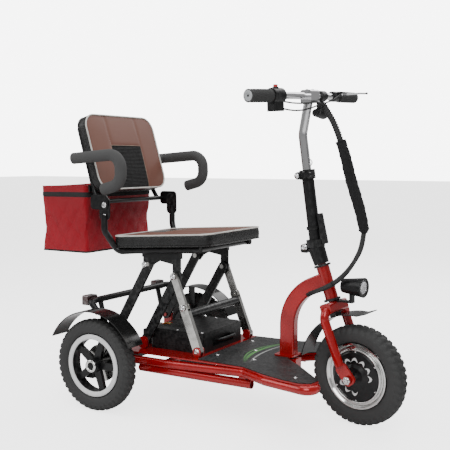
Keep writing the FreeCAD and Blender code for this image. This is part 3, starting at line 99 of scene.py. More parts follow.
# ---------------------------------------------------------------- shader node groups
class Graph:
    """A node tree with short ways to add and wire nodes."""

    def __init__(self, tree: bpy.types.NodeTree) -> None:
        """Takes hold of a node tree.

        Args:
            tree: the tree to fill.
        """
        self.tree = tree

    def node(self, kind: str, inputs: Optional[dict] = None, **settings: object) -> bpy.types.Node:
        """Adds a node.

        Args:
            kind: the node's type, without its ShaderNode prefix.
            inputs: socket name or index to a value, or to a socket to link from.
            settings: properties of the node.

        Returns:
            The new node.
        """
        made = self.tree.nodes.new("ShaderNode" + kind)
        for key, value in settings.items():
            setattr(made, key, value)
        for key, value in (inputs or {}).items():
            if isinstance(value, bpy.types.NodeSocket):
                self.tree.links.new(value, made.inputs[key])
            else:
                made.inputs[key].default_value = value
        return made

    def math(self, operation: str, first: object, second: object = 0.0,
             third: object = 0.0) -> bpy.types.NodeSocket:
        """Adds one step of arithmetic.

        Args:
            operation: the Math node's operation.
            first: a number or a socket.
            second: a number or a socket.
            third: a number or a socket.

        Returns:
            The result's socket.
        """
        return self.node("Math", {0: first, 1: second, 2: third}, operation=operation).outputs[0]

    def mix(self, factor: object, first: object, second: object) -> bpy.types.NodeSocket:
        """Mixes two colours.

        Args:
            factor: a number or a socket from 0 to 1.
            first: the colour at 0.
            second: the colour at 1.

        Returns:
            The mixed colour's socket.
        """
        inputs = {0: factor, 6: opaque(first), 7: opaque(second)}
        return self.node("Mix", inputs, data_type="RGBA").outputs[2]

    def ramp(self, value: bpy.types.NodeSocket, low: float, high: float) -> bpy.types.NodeSocket:
        """Stretches a range of values to 0 to 1, clamped and smooth.

        Args:
            value: the value's socket.
            low: what becomes 0.
            high: what becomes 1.

        Returns:
            The result's socket.
        """
        inputs = {0: value, 1: low, 2: high}
        return self.node("MapRange", inputs, interpolation_type="SMOOTHSTEP").outputs[0]

    def place(self) -> bpy.types.NodeSocket:
        """Gives the point on the surface in the piece's own frame.

        Returns:
            The coordinate's socket.
        """
        return self.node("TexCoord").outputs["Object"]

    def noise(self, scale: object, detail: float = 3.0, coordinate: object = None) -> bpy.types.NodeSocket:
        """Adds fractal noise.

        Args:
            scale: the noise's scale, per metre.
            detail: how many octaves.
            coordinate: the coordinate's socket, or None for the piece's own.

        Returns:
            The noise value's socket.
        """
        inputs = {"Vector": coordinate or self.place(), "Scale": scale, "Detail": detail}
        return self.node("TexNoise", inputs).outputs["Fac"]


def opaque(colour: object) -> object:
    """Gives a colour its alpha, and passes a socket through.

    Args:
        colour: three numbers or a socket.

    Returns:
        Four numbers or the socket.
    """
    return colour if isinstance(colour, bpy.types.NodeSocket) else (*colour, 1.0)


class Effect:
    """A shader node group with named sockets, made once and used by several materials."""

    def __init__(self, name: str, inputs: dict[str, float], outputs: Sequence[str],
                 fill: Callable[[Graph, dict], dict]) -> None:
        """Builds the group.

        Args:
            name: the group's name.
            inputs: each input's name and default value.
            outputs: the outputs' names.
            fill: wires the group: takes its graph and input sockets, and gives the output sockets.
        """
        tree = bpy.data.node_groups.new(name, "ShaderNodeTree")
        for key, value in inputs.items():
            socket = tree.interface.new_socket(key, in_out="INPUT", socket_type="NodeSocketFloat")
            socket.default_value = value
        for key in outputs:
            tree.interface.new_socket(key, in_out="OUTPUT", socket_type="NodeSocketFloat")
        start, end = tree.nodes.new("NodeGroupInput"), tree.nodes.new("NodeGroupOutput")
        results = fill(Graph(tree), {s.name: s for s in start.outputs if s.name})
        for key in outputs:
            tree.links.new(results[key], end.inputs[key])
        self.tree = tree

    def use(self, graph: Graph, **values: float) -> bpy.types.Node:
        """Adds the group to a material.

        Args:
            graph: the material's graph.
            values: input values, by name.

        Returns:
            The group node.
        """
        made = graph.tree.nodes.new("ShaderNodeGroup")
        made.node_tree = self.tree
        for key, value in values.items():
            made.inputs[key].default_value = value
        return made


def fill_grain(graph: Graph, given: dict) -> dict:
    """Fine and broad noise: a height, a colour shift and a roughness shift."""
    fine = graph.noise(given["Scale"], 4.0)
    broad = graph.noise(graph.math("MULTIPLY", given["Scale"], 0.06), 3.0)
    return {"Height": fine, "Shade": graph.ramp(broad, 0.3, 0.7), "Smudge": graph.ramp(broad, 0.42, 0.66)}


def fill_wear(graph: Graph, given: dict) -> dict:
    """Worn edges, broken up by noise, and dust that lies on surfaces that face up."""
    geometry = graph.node("NewGeometry")
    edge = graph.ramp(geometry.outputs["Pointiness"], 0.54, 0.62)
    broken = graph.ramp(graph.noise(90.0, 5.0), 0.42, 0.6)
    up = graph.node("SeparateXYZ", {0: geometry.outputs["Normal"]}).outputs[2]
    lying = graph.math("MULTIPLY", graph.ramp(up, 0.2, 0.95), graph.ramp(graph.noise(22.0, 6.0), 0.35, 0.75))
    return {
        "Edge": graph.math("MULTIPLY", graph.math("MULTIPLY", edge, broken), given["Amount"]),
        "Dust": graph.math("MULTIPLY", lying, given["Amount"]),
    }


def fill_weave(graph: Graph, given: dict) -> dict:
    """Two crossed sets of threads, over the plane that the surface faces most."""
    spot = graph.node("SeparateXYZ", {0: graph.place()})
    turn = graph.node("SeparateXYZ", {0: graph.node("NewGeometry").outputs["Normal"]})
    side = graph.math("GREATER_THAN", graph.math("ABSOLUTE", turn.outputs[1]), 0.6)
    top = graph.math("GREATER_THAN", graph.math("ABSOLUTE", turn.outputs[2]), 0.7)
    across = graph.node("Mix", {0: side, 2: spot.outputs[1], 3: spot.outputs[0]}).outputs[0]
    along = graph.node("Mix", {0: top, 2: spot.outputs[2], 3: spot.outputs[0]}).outputs[0]
    warp = graph.math("SINE", graph.math("MULTIPLY", across, given["Scale"]))
    weft = graph.math("SINE", graph.math("MULTIPLY", along, given["Scale"]))
    return {"Height": graph.math("MULTIPLY", warp, weft), "Thread": graph.ramp(warp, -0.4, 0.8)}


def fill_hide(graph: Graph, given: dict) -> dict:
    """Leather's pebbled grain, its broad wrinkles and its uneven dye."""
    cells = graph.node("TexVoronoi", {"Vector": graph.place(), "Scale": given["Scale"]},
                       feature="DISTANCE_TO_EDGE")
    pebbles = graph.ramp(cells.outputs["Distance"], 0.0, 0.25)
    wrinkle = graph.noise(graph.math("MULTIPLY", given["Scale"], 0.07), 6.0)
    height = graph.math("MULTIPLY_ADD", wrinkle, 3.0, graph.math("MULTIPLY", pebbles, 0.5))
    return {"Height": height, "Dye": graph.ramp(graph.noise(26.0, 6.0), 0.32, 0.68)}


def fill_diamonds(graph: Graph, given: dict) -> dict:
    """Raised diamonds in rows on a level sheet."""
    spot = graph.node("SeparateXYZ", {0: graph.place()})
    first = graph.math("MULTIPLY", graph.math("ADD", spot.outputs[0], spot.outputs[1]), given["Scale"])
    second = graph.math("MULTIPLY", graph.math("SUBTRACT", spot.outputs[0], spot.outputs[1]), given["Scale"])
    ridge = graph.math("MULTIPLY", graph.math("SINE", first), graph.math("SINE", second))
    return {"Height": graph.ramp(ridge, 0.1, 0.7)}


GRAIN = Effect("SurfaceGrain", {"Scale": 400.0}, ("Height", "Shade", "Smudge"), fill_grain)
WEAR = Effect("EdgeWearAndDust", {"Amount": 1.0}, ("Edge", "Dust"), fill_wear)
WEAVE = Effect("WovenThreads", {"Scale": 2400.0}, ("Height", "Thread"), fill_weave)
HIDE = Effect("HideGrain", {"Scale": 420.0}, ("Height", "Dye"), fill_hide)
DIAMONDS = Effect("RaisedDiamonds", {"Scale": 520.0}, ("Height",), fill_diamonds)


# ---------------------------------------------------------------- finishes
DUST: Colour = (0.32, 0.3, 0.27)


@dataclass(frozen=True)
class Finish:
    """A procedural finish: a base colour varied by grain, with worn edges and settled dust."""

    name: str
    slot: str
    colour: Colour
    shade: Colour
    roughness: float = 0.5
    metallic: float = 0.0
    coat: float = 0.0
    grain: float = 400.0
    depth: float = 0.1
    worn: Colour = (0.3, 0.3, 0.3)
    wear: float = 0.3
    dust: float = 0.0
    shine: float = 0.5

    def material(self) -> bpy.types.Material:
        """Makes the finish's material, or gives back the one made before.

        Returns:
            The material.
        """
        found = bpy.data.materials.get(self.name)
        if found:
            return found
        made = bpy.data.materials.new(self.name)
        made.use_nodes = True
        graph = Graph(made.node_tree)
        shader = made.node_tree.nodes["Principled BSDF"]
        colour, rough, height = self.surface(graph)
        made.node_tree.links.new(colour, shader.inputs["Base Color"])
        made.node_tree.links.new(rough, shader.inputs["Roughness"])
        bump = graph.node("Bump", {"Strength": 1.0, "Distance": self.depth * 0.001, "Height": height})
        made.node_tree.links.new(bump.outputs[0], shader.inputs["Normal"])
        shader.inputs["Metallic"].default_value = self.metallic
        shader.inputs["Coat Weight"].default_value = self.coat
        shader.inputs["Coat Roughness"].default_value = 0.04
        shader.inputs["Specular IOR Level"].default_value = self.shine
        self.extra(graph, shader)
        return made

    def surface(self, graph: Graph) -> tuple[bpy.types.NodeSocket, bpy.types.NodeSocket,
                                             bpy.types.NodeSocket]:
        """Wires the colour, the roughness and the height.

        Args:
            graph: the material's graph.

        Returns:
            The three sockets.
        """
        grain = GRAIN.use(graph, Scale=self.grain)
        wear = WEAR.use(graph, Amount=self.wear)
        colour = graph.mix(grain.outputs["Shade"], self.colour, self.shade)
        colour = graph.mix(wear.outputs["Edge"], colour, self.worn)
        if self.dust:
            settled = graph.math("MULTIPLY", wear.outputs["Dust"], self.dust)
            colour = graph.mix(settled, colour, DUST)
        rough = graph.math("MULTIPLY_ADD", grain.outputs["Smudge"], self.roughness * 0.35,
                           self.roughness * 0.82)
        return colour, rough, grain.outputs["Height"]

    def extra(self, graph: Graph, shader: bpy.types.Node) -> None:
        """Sets what only some finishes have.

        Args:
            graph: the material's graph.
            shader: its Principled BSDF.
        """


@dataclass(frozen=True)
class Woven(Finish):
    """Cloth: threads over the grain, with a soft sheen."""

    threads: float = 2400.0
    sheen: float = 0.3

    def surface(self, graph: Graph) -> tuple[bpy.types.NodeSocket, bpy.types.NodeSocket,
                                             bpy.types.NodeSocket]:
        """Wires the cloth's colour, roughness and height. See Finish.surface."""
        weave = WEAVE.use(graph, Scale=self.threads)
        colour, rough, folds = super().surface(graph)
        colour = graph.mix(graph.math("MULTIPLY", weave.outputs["Thread"], 0.25), colour, self.worn)
        height = graph.math("MULTIPLY_ADD", folds, 2.0, weave.outputs["Height"])
        return colour, rough, height

    def extra(self, graph: Graph, shader: bpy.types.Node) -> None:
        """Adds the sheen. See Finish.extra."""
        shader.inputs["Sheen Weight"].default_value = self.sheen


@dataclass(frozen=True)
class Hide(Finish):
    """Coated leather with a pebbled grain, wrinkles and mottled dye."""

    def surface(self, graph: Graph) -> tuple[bpy.types.NodeSocket, bpy.types.NodeSocket,
                                             bpy.types.NodeSocket]:
        """Wires the leather's colour, roughness and height. See Finish.surface."""
        hide = HIDE.use(graph, Scale=self.grain)
        wear = WEAR.use(graph, Amount=self.wear)
        colour = graph.mix(hide.outputs["Dye"], self.colour, self.shade)
        colour = graph.mix(wear.outputs["Edge"], colour, self.worn)
        rough = graph.math("MULTIPLY_ADD", hide.outputs["Dye"], self.roughness * 0.4, self.roughness * 0.8)
        return colour, rough, hide.outputs["Height"]


@dataclass(frozen=True)
class Ribbed(Finish):
    """A moulded or knitted surface with ribs along one direction, with painted shade in the grooves between
    the ribs.
    """

    ribs: float = 900.0
    along: Point = (0.0, 1.0, 0.0)

    def surface(self, graph: Graph) -> tuple[bpy.types.NodeSocket, bpy.types.NodeSocket,
                                             bpy.types.NodeSocket]:
        """Wires the ribs over the grain, with painted shade darkening the grooves. See Finish.surface."""
        colour, rough, fine = super().surface(graph)
        run = graph.node("VectorMath", {0: graph.place(), 1: self.along},
                         operation="DOT_PRODUCT").outputs["Value"]
        wave = graph.math("SINE", graph.math("MULTIPLY", run, self.ribs))
        # Painted shade: the grooves between the ribs are darkened to 0.35 of the colour.
        colour = graph.mix(graph.ramp(wave, 0.2, -0.9), colour, tuple(c * 0.35 for c in self.colour))
        return colour, rough, graph.math("MULTIPLY_ADD", wave, 3.0, fine)


@dataclass(frozen=True)
class DeckRubber(Finish):
    """The foot mat: raised diamonds, with two curved stripes printed across it."""

    green: Colour = (0.13, 0.42, 0.1)

    def surface(self, graph: Graph) -> tuple[bpy.types.NodeSocket, bpy.types.NodeSocket,
                                             bpy.types.NodeSocket]:
        """Wires the mat's print and diamonds. See Finish.surface."""
        colour, rough, fine = super().surface(graph)
        spot = graph.node("SeparateXYZ", {0: graph.place()})
        x, y = spot.outputs[0], spot.outputs[1]
        for start, bend, width, ink in ((0.135, 1.5, 0.007, self.green),
                                        (0.162, 1.1, 0.004, (0.5, 0.52, 0.5)),
                                        (0.118, 2.2, 0.003, self.green)):
            curve = graph.math("MULTIPLY_ADD", graph.math("MULTIPLY", y, y), bend, start)
            away = graph.math("ABSOLUTE", graph.math("SUBTRACT", x, curve))
            fade = graph.ramp(graph.math("ABSOLUTE", y), 0.17, 0.05)
            stripe = graph.math("MULTIPLY", graph.ramp(away, width, width * 0.6), fade)
            colour = graph.mix(graph.math("MULTIPLY", stripe, 0.75), colour, ink)
        diamonds = DIAMONDS.use(graph, Scale=self.grain * 1.3)
        return colour, rough, graph.math("MULTIPLY_ADD", diamonds.outputs["Height"], 4.0, fine)


@dataclass(frozen=True)
class Clear(Finish):
    """Clear moulded plastic."""

    def extra(self, graph: Graph, shader: bpy.types.Node) -> None:
        """Lets light through. See Finish.extra."""
        shader.inputs["Transmission Weight"].default_value = 0.92
        shader.inputs["IOR"].default_value = 1.45


@dataclass(frozen=True)
class Lit(Finish):
    """A small emitter behind a lens."""

    glow: float = 0.4

    def extra(self, graph: Graph, shader: bpy.types.Node) -> None:
        """Adds a faint glow. See Finish.extra."""
        shader.inputs["Emission Color"].default_value = (1.0, 1.0, 1.0, 1.0)
        shader.inputs["Emission Strength"].default_value = self.glow


@dataclass(frozen=True)
class Paper(Finish):
    """The studio's floor: it looks white, and throws no more light on the scooter than paper does."""

    glow: float = 2.6

    def extra(self, graph: Graph, shader: bpy.types.Node) -> None:
        """Brightens only what is seen straight on. See Finish.extra."""
        shader.inputs["Emission Color"].default_value = (1.0, 1.0, 1.0, 1.0)
        seen = graph.tree.nodes.new("ShaderNodeLightPath")
        glow = graph.math("MULTIPLY", seen.outputs["Is Camera Ray"], self.glow)
        graph.tree.links.new(glow, shader.inputs["Emission Strength"])


BLACK, SOFT_BLACK = (0.005, 0.005, 0.0055), (0.009, 0.009, 0.0095)


class Look(Enum):
    """Every finish on the scooter."""

    RED = Finish("candy_red", "red_paint", (0.4, 0.001, 0.003), (0.31, 0.001, 0.002), 0.24, 0.25, 0.35, 300,
                 0.02,
                 (0.3, 0.05, 0.04), 0.12)
    CHROME = Finish("chrome_plate", "chrome", (0.78, 0.78, 0.79), (0.7, 0.7, 0.71), 0.1, 1.0, 0.0, 200, 0.01)
    STEEL = Finish("brushed_stainless", "steel", (0.62, 0.61, 0.59), (0.52, 0.51, 0.49), 0.24, 1.0, 0.0, 900,
                   0.03)
    ALLOY = Finish("polished_alloy", "polished_aluminium", (0.82, 0.82, 0.81), (0.72, 0.72, 0.71), 0.14, 1.0,
                   0.0,
                   260, 0.02)
    POWDER = Finish("black_powder_coat", "black_metal", BLACK, SOFT_BLACK, 0.34, 0.0, 0.0, 1400, 0.05,
                    (0.09, 0.09, 0.09), 0.3, dust=0.03, shine=0.32)
    PLASTIC = Finish("black_moulded", "black_plastic", (0.006, 0.006, 0.0065), (0.01, 0.01, 0.0105), 0.42,
                     0.0, 0.0,
                     1600, 0.06, (0.05, 0.05, 0.05), 0.35, dust=0.03, shine=0.25)
    GLOSS = Finish("black_gloss", "gloss_black_plastic", (0.006, 0.006, 0.006), (0.009, 0.009, 0.009), 0.16,
                   0.0,
                   0.0, 240, 0.02, (0.02, 0.02, 0.02), 0.1, shine=0.32)
    TYRE = Finish("tyre_rubber", "tyre_rubber", (0.007, 0.007, 0.0072), (0.011, 0.011, 0.011), 0.55, 0.0,
                  0.0, 1100,
                  0.12, (0.05, 0.048, 0.046), 0.4, dust=0.05, shine=0.22)
    GRIP = Ribbed("grip_rubber", "grip_rubber", (0.006, 0.006, 0.0065), (0.01, 0.01, 0.01), 0.55, 0.0, 0.0,
                  1200, 0.3,
                  (0.05, 0.05, 0.05), 0.3, shine=0.22, ribs=1500.0)
    CABLE = Finish("cable_rubber", "cable_rubber", (0.012, 0.012, 0.012), (0.02, 0.02, 0.02), 0.42, 0.0, 0.0,
                   900,
                   0.05, shine=0.3)
    SLEEVE = Woven("cable_sleeve", "sleeve_fabric", (0.010, 0.010, 0.011), (0.016, 0.016, 0.017), 0.72, 0.0,
                   0.0, 500,
                   0.35, (0.03, 0.03, 0.03), 0.3, shine=0.15, threads=4200.0, sheen=0.03)
    LEATHER = Hide("brown_leather", "brown_leather", (0.016, 0.004, 0.0025), (0.075, 0.017, 0.008), 0.2, 0.0,
                   0.3, 420,
                   0.5, (0.15, 0.06, 0.04), 0.3, shine=0.4)
    LEATHER_DARK = Hide("dark_leather", "brown_leather", (0.022, 0.009, 0.007), (0.05, 0.02, 0.014), 0.24,
                        0.0, 0.3,
                        420, 0.5, (0.1, 0.05, 0.035), 0.3, shine=0.4)
    VINYL = Hide("black_vinyl", "brown_leather", (0.006, 0.006, 0.006), (0.012, 0.012, 0.012), 0.26, 0.0,
                 0.0, 520,
                 0.4, (0.05, 0.05, 0.05), 0.3, shine=0.35)
    PIPING = Hide("pale_piping", "brown_leather", (0.66, 0.64, 0.6), (0.5, 0.48, 0.45), 0.45, 0.0, 0.1, 900,
                  0.2)
    THREAD = Hide("seam_thread", "brown_leather", (0.3, 0.22, 0.17), (0.2, 0.13, 0.1), 0.6, 0.0, 0.0, 1500,
                  0.2)
    MESH = Ribbed("ribbed_mesh", "brown_leather", (0.02, 0.02, 0.021), (0.034, 0.034, 0.034), 0.8, 0.0, 0.0,
                  1600,
                  0.5, shine=0.15, ribs=1250.0, along=(0.0, 0.0, 1.0))
    FOAM = Finish("arm_foam", "arm_foam", (0.009, 0.009, 0.009), (0.014, 0.014, 0.0145), 0.75, 0.0, 0.0,
                  2200, 0.35,
                  (0.05, 0.05, 0.05), 0.4, shine=0.2)
    NYLON = Woven("red_nylon", "red_fabric", (0.45, 0.006, 0.02), (0.32, 0.004, 0.013), 0.4, 0.0, 0.0, 60,
                  0.5,
                  (0.5, 0.02, 0.03), 0.2, shine=0.2, threads=3600.0, sheen=0.04)
    WEBBING = Woven("black_webbing", "red_fabric", (0.014, 0.014, 0.014), (0.026, 0.026, 0.026), 0.75, 0.0,
                    0.0, 400,
                    0.3, (0.05, 0.05, 0.05), 0.2, shine=0.15, threads=3000.0, sheen=0.03)
    DECK = DeckRubber("deck_mat", "deck_rubber", (0.012, 0.0125, 0.013), (0.021, 0.0215, 0.023), 0.45, 0.0,
                      0.0, 500,
                      0.5, (0.09, 0.09, 0.09), 0.3, dust=0.08, shine=0.3)
    RED_BUTTON = Finish("red_button", "red_plastic", (0.55, 0.02, 0.012), (0.45, 0.015, 0.01), 0.3, 0.0, 0.3,
                        500,
                        0.03)
    TAIL = Finish("tail_lens", "lamp_plastic", (0.05, 0.01, 0.01), (0.03, 0.008, 0.008), 0.22, 0.0, 0.6, 500,
                  0.05)
    LENS = Clear("clear_lens", "lens", (0.95, 0.95, 0.96), (0.9, 0.9, 0.92), 0.06, 0.0, 0.0, 300, 0.02,
                 wear=0.0)
    LED = Lit("lamp_led", "lens", (0.95, 0.95, 0.9), (0.9, 0.9, 0.85), 0.3, 0.0, 0.0, 300, 0.02, wear=0.0)
    GREY = Finish("grey_nylon", "black_plastic", (0.4, 0.41, 0.42), (0.32, 0.33, 0.34), 0.5, 0.0, 0.0, 900,
                  0.05)
    ORANGE = Finish("orange_wire", "cable_rubber", (0.75, 0.2, 0.02), (0.6, 0.15, 0.02), 0.4, 0.0, 0.1, 900,
                    0.02)
    GREEN = Finish("green_wire", "cable_rubber", (0.05, 0.4, 0.08), (0.04, 0.3, 0.06), 0.4, 0.0, 0.1, 900,
                   0.02)
    WHITE = Finish("white_insert", "black_metal", (0.82, 0.82, 0.82), (0.74, 0.74, 0.74), 0.35, 0.0, 0.2,
                   600, 0.02)


NODE_LOOKS: dict[Look, Sequence[str]] = {
    Look.RED: ("side_rails", "under_frame", "gooseneck", "head_tube", "deck_plate", "link_lugs", "fork_crown",
               "fork_legs"),
    Look.CHROME: ("handlebar", "brake_lever", "bar_post"),
    Look.STEEL: ("front_axle", "brake_disc_right", "brake_disc_left", "pivot_bolts", "strut_lower",
                 "strut_upper"),
    Look.ALLOY: ("front_rim",),
    Look.POWDER: ("rear_axle_beam", "brake_calipers", "rear_bumper", "stem_socket", "hub_motor_case",
                  "stem_tube",
                  "stem_clamp", "front_links", "rear_links", "seat_brackets", "seat_frame", "backrest_frame",
                  "release_bar", "rear_wheel_right", "rear_wheel_left", "headset_cups"),
    Look.PLASTIC: ("battery_case", "battery_lid", "controller_box", "headlamp_shell", "fold_latch",
                   "clamp_lever",
                   "throttle_housing", "bar_fittings"),
    Look.GLOSS: ("rear_fenders", "front_fender"),
    Look.TYRE: ("front_tyre", "rear_tyre_right", "rear_tyre_left"),
    Look.GRIP: ("throttle_grip", "left_grip"),
    Look.CABLE: ("harness_lower",),
    Look.SLEEVE: ("harness_upper",),
    Look.FOAM: ("armrest_right", "armrest_left"),
    Look.NYLON: ("basket",),
    Look.DECK: ("deck_mat",),
    Look.TAIL: ("tail_lamps",),
    Look.LENS: ("headlamp_lens",),
    Look.LEATHER: ("seat_cushion", "backrest_cushion"),
    Look.RED_BUTTON: ("power_button",),
}


def paint_nodes() -> None:
    """Gives every carried-over CAD node its finish."""
    for look, names in NODE_LOOKS.items():
        for name in names:
            node = frame["nodes"][name]
            node.data.materials.clear()
            node.data.materials.append(look.value.material())
    LOG.info("finishes on %d nodes", sum(len(names) for names in NODE_LOOKS.values()))


# ---------------------------------------------------------------- studio
@dataclass
class Studio:
    """The pale floor, the soft lights and the camera."""

    lens: float = 64.04
    place: Point = (1.699 + REAR_X, -2.319, 0.823)
    look: Point = (-0.5119, 0.8553, -0.0799)
    up: Point = (-0.0410, 0.0686, 0.9968)
    sensor: float = 36.0
    floor_size: float = 60.0
    ambient: float = 0.36
    backdrop: float = 7.0
    target: Point = (0.0, 0.0, 0.4)
    lights: Sequence[tuple[Point, float, float]] = field(default_factory=lambda: (
        ((1.4, -2.6, 2.6), 2.2, 75.0), ((-2.6, -1.6, 2.2), 2.0, 42.0), ((0.4, 2.4, 2.8), 2.4, 55.0),
        ((0.0, 0.0, 3.2), 2.6, 45.0),
    ))

    def camera(self) -> None:
        """Stands the camera where the object was seen from."""
        data = bpy.data.cameras.new("camera")
        data.lens = self.lens
        data.sensor_width = self.sensor
        data.clip_end = 50.0
        made = bpy.data.objects.new("camera", data)
        bpy.context.scene.collection.objects.link(made)
        back, up = -Vector(self.look).normalized(), Vector(self.up).normalized()
        right = up.cross(back).normalized()
        turn = Matrix((right, back.cross(right), back)).transposed()
        made.matrix_world = Matrix.Translation(Vector(self.place)) @ turn.to_4x4()
        bpy.context.scene.camera = made

    def build(self) -> None:
        """Makes the floor, the lights and the pale surroundings."""
        bpy.ops.mesh.primitive_plane_add(size=self.floor_size, location=(0.0, 0.0, 0.0))
        floor = bpy.context.object
        floor.name = "floor"
        floor.data.materials.append(
            Paper("floor_paper", "", (0.9, 0.9, 0.9), (0.88, 0.88, 0.88), 0.9, grain=4.0, wear=0.0,
                  shine=0.1).material())
        for number, (place, size, power) in enumerate(self.lights):
            data = bpy.data.lights.new(f"soft_light_{number}", "AREA")
            data.energy, data.size = power, size
            lamp = bpy.data.objects.new(data.name, data)
            bpy.context.scene.collection.objects.link(lamp)
            lamp.location = place
            lamp.rotation_mode = "QUATERNION"
            lamp.rotation_quaternion = (Vector(self.target) - Vector(place)).to_track_quat("-Z", "Y")
        world = bpy.data.worlds.new("studio")
        bpy.context.scene.world = world
        world.use_nodes = True
        white = (1.0, 1.0, 1.0, 1.0)
        ground = world.node_tree.nodes["Background"]
        ground.inputs[0].default_value, ground.inputs[1].default_value = white, self.ambient
        bright = world.node_tree.nodes.new("ShaderNodeBackground")
        bright.inputs[0].default_value, bright.inputs[1].default_value = white, self.backdrop
        seen = world.node_tree.nodes.new("ShaderNodeLightPath")
        both = world.node_tree.nodes.new("ShaderNodeMixShader")
        for start, end in ((seen.outputs["Is Camera Ray"], both.inputs[0]),
                           (ground.outputs[0], both.inputs[1]),
                           (bright.outputs[0], both.inputs[2]),
                           (both.outputs[0], world.node_tree.nodes["World Output"].inputs[0])):
            world.node_tree.links.new(start, end)
        LOG.info("studio: %d lights", len(self.lights))


# ---------------------------------------------------------------- ways of making a piece
def mm(x: float, y: float, z: float) -> Vector:
    """Turns millimetres from the ground below the rear axle into the row frame.

    Args:
        x: forward.
        y: to the rider's left.
        z: up.

    Returns:
        The point in metres.
    """
    return Vector((x / 1000 + REAR_X, y / 1000, z / 1000))


def mesh_piece(name: str, points: Sequence[Sequence[float]], faces: Sequence[Sequence[int]],
               smooth: bool = True) -> bpy.types.Object:
    """Makes a mesh object.

    Args:
        name: the piece's name.
        points: its vertices, in metres.
        faces: vertex numbers round each face.
        smooth: whether its faces are shaded smooth.

    Returns:
        The object.
    """
    data = bpy.data.meshes.new(name)
    data.from_pydata([tuple(p) for p in points], [], [tuple(f) for f in faces])
    data.validate()
    sheet = bmesh.new()
    sheet.from_mesh(data)
    bmesh.ops.recalc_face_normals(sheet, faces=sheet.faces)
    sheet.to_mesh(data)
    sheet.free()
    for face in data.polygons:
        face.use_smooth = smooth
    made = bpy.data.objects.new(name, data)
    bpy.context.scene.collection.objects.link(made)
    return made


def fit(piece: bpy.types.Object, body: str, look: Look, *replaced: str) -> bpy.types.Object:
    """Gives a piece its finish and the body that it rides on.

    Args:
        piece: the object.
        body: the CAD body's name.
        look: the finish.
        replaced: the CAD nodes that it stands for.

    Returns:
        The same object.
    """
    if not piece.data.materials:
        piece.data.materials.append(look.value.material())
    if replaced:
        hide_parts(*replaced)
    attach(piece, body)
    return piece


def aim(centre: Sequence[float], along: Sequence[float]) -> Matrix:
    """Places a shape made round its own Z axis.

    Args:
        centre: where its origin goes.
        along: which way its Z axis points.

    Returns:
        The transform.
    """
    turn = Vector(along).normalized().to_track_quat("Z", "Y").to_matrix().to_4x4()
    return Matrix.Translation(Vector(centre)) @ turn


def turned(name: str, profile: Sequence[tuple[float, float]], place: Matrix,
           steps: int = 48) -> bpy.types.Object:
    """Turns a profile about its Z axis.

    Args:
        name: the piece's name.
        profile: radius and height of each point, in metres; a radius of 0 closes an end.
        place: where it goes.
        steps: how many steps round.

    Returns:
        The object.
    """
    points, faces, rows = [], [], []
    for radius, height in profile:
        count = 1 if radius == 0 else steps
        rows.append((len(points), count))
        for i in range(count):
            angle = 2 * math.pi * i / steps
            points.append(place @ Vector((radius * math.cos(angle), radius * math.sin(angle), height)))
    for (low, many), (high, more) in zip(rows, rows[1:]):
        for i in range(steps):
            j = (i + 1) % steps
            ring = [low + i % many, low + j % many, high + j % more, high + i % more]
            faces.append([v for k, v in enumerate(ring) if v not in ring[:k]])
    return mesh_piece(name, points, faces)


def strand(name: str, points: Sequence[Sequence[float]], radius: float, cyclic: bool = False,
           smooth: bool = True) -> bpy.types.Object:
    """Makes a round strand along a smooth line.

    Args:
        name: the piece's name.
        points: the line's control points, in metres.
        radius: the strand's radius.
        cyclic: whether it closes on itself.
        smooth: a smooth line, or straight runs.

    Returns:
        The curve object.
    """
    data = bpy.data.curves.new(name, "CURVE")
    data.dimensions = "3D"
    data.bevel_depth = radius
    data.bevel_resolution = 4
    data.use_fill_caps = True
    data.resolution_u = 8
    line = data.splines.new("NURBS")
    line.points.add(len(points) - 1)
    for spot, place in zip(line.points, points):
        spot.co = (*place, 1.0)
    line.use_cyclic_u = cyclic
    line.order_u = 3 if smooth else 2
    line.use_endpoint_u = not cyclic
    made = bpy.data.objects.new(name, data)
    bpy.context.scene.collection.objects.link(made)
    return made


def box_piece(name: str, low: Sequence[float], high: Sequence[float], edge: float = 0.002,
              place: Optional[Matrix] = None) -> bpy.types.Object:
    """Makes a block with rounded edges.

    Args:
        name: the piece's name.
        low: its lowest corner.
        high: its highest corner.
        edge: how far the edges are rounded.
        place: a transform, or None.

    Returns:
        The object.
    """
    made = bpy.data.meshes.new(name)
    shape = bmesh.new()
    bmesh.ops.create_cube(shape, size=1.0)
    low, high = Vector(low), Vector(high)
    for vertex in shape.verts:
        vertex.co = Vector(low[i] if vertex.co[i] < 0 else high[i] for i in range(3))
    bmesh.ops.bevel(shape, geom=shape.edges, offset=edge, segments=3, affect="EDGES", profile=0.6)
    if place:
        shape.transform(place)
    shape.to_mesh(made)
    shape.free()
    for face in made.polygons:
        face.use_smooth = True
    piece = bpy.data.objects.new(name, made)
    bpy.context.scene.collection.objects.link(piece)
    return piece


@dataclass
class Bolt:
    """A domed bolt head with a hexagon socket and a washer."""

    radius: float = 0.0065
    height: float = 0.004
    look: Look = Look.CHROME

    def build(self, name: str, body: str, centre: Sequence[float], out: Sequence[float]) -> bpy.types.Object:
        """Makes one bolt head.

        Args:
            name: the piece's name.
            body: the body it rides on.
            centre: the middle of its seat.
            out: which way it faces.

        Returns:
            The object.
        """
        r, h = self.radius, self.height
        profile = [(0, 0.3 * h), (0.4 * r, 0.3 * h), (0.46 * r, h), (0.8 * r, 0.92 * h), (r, 0.5 * h),
                   (r, 0.2 * h),
                   (1.4 * r, 0.18 * h), (1.45 * r, 0.0), (0, 0)]
        return fit(turned(name, profile, aim(centre, out), 24), body, self.look)


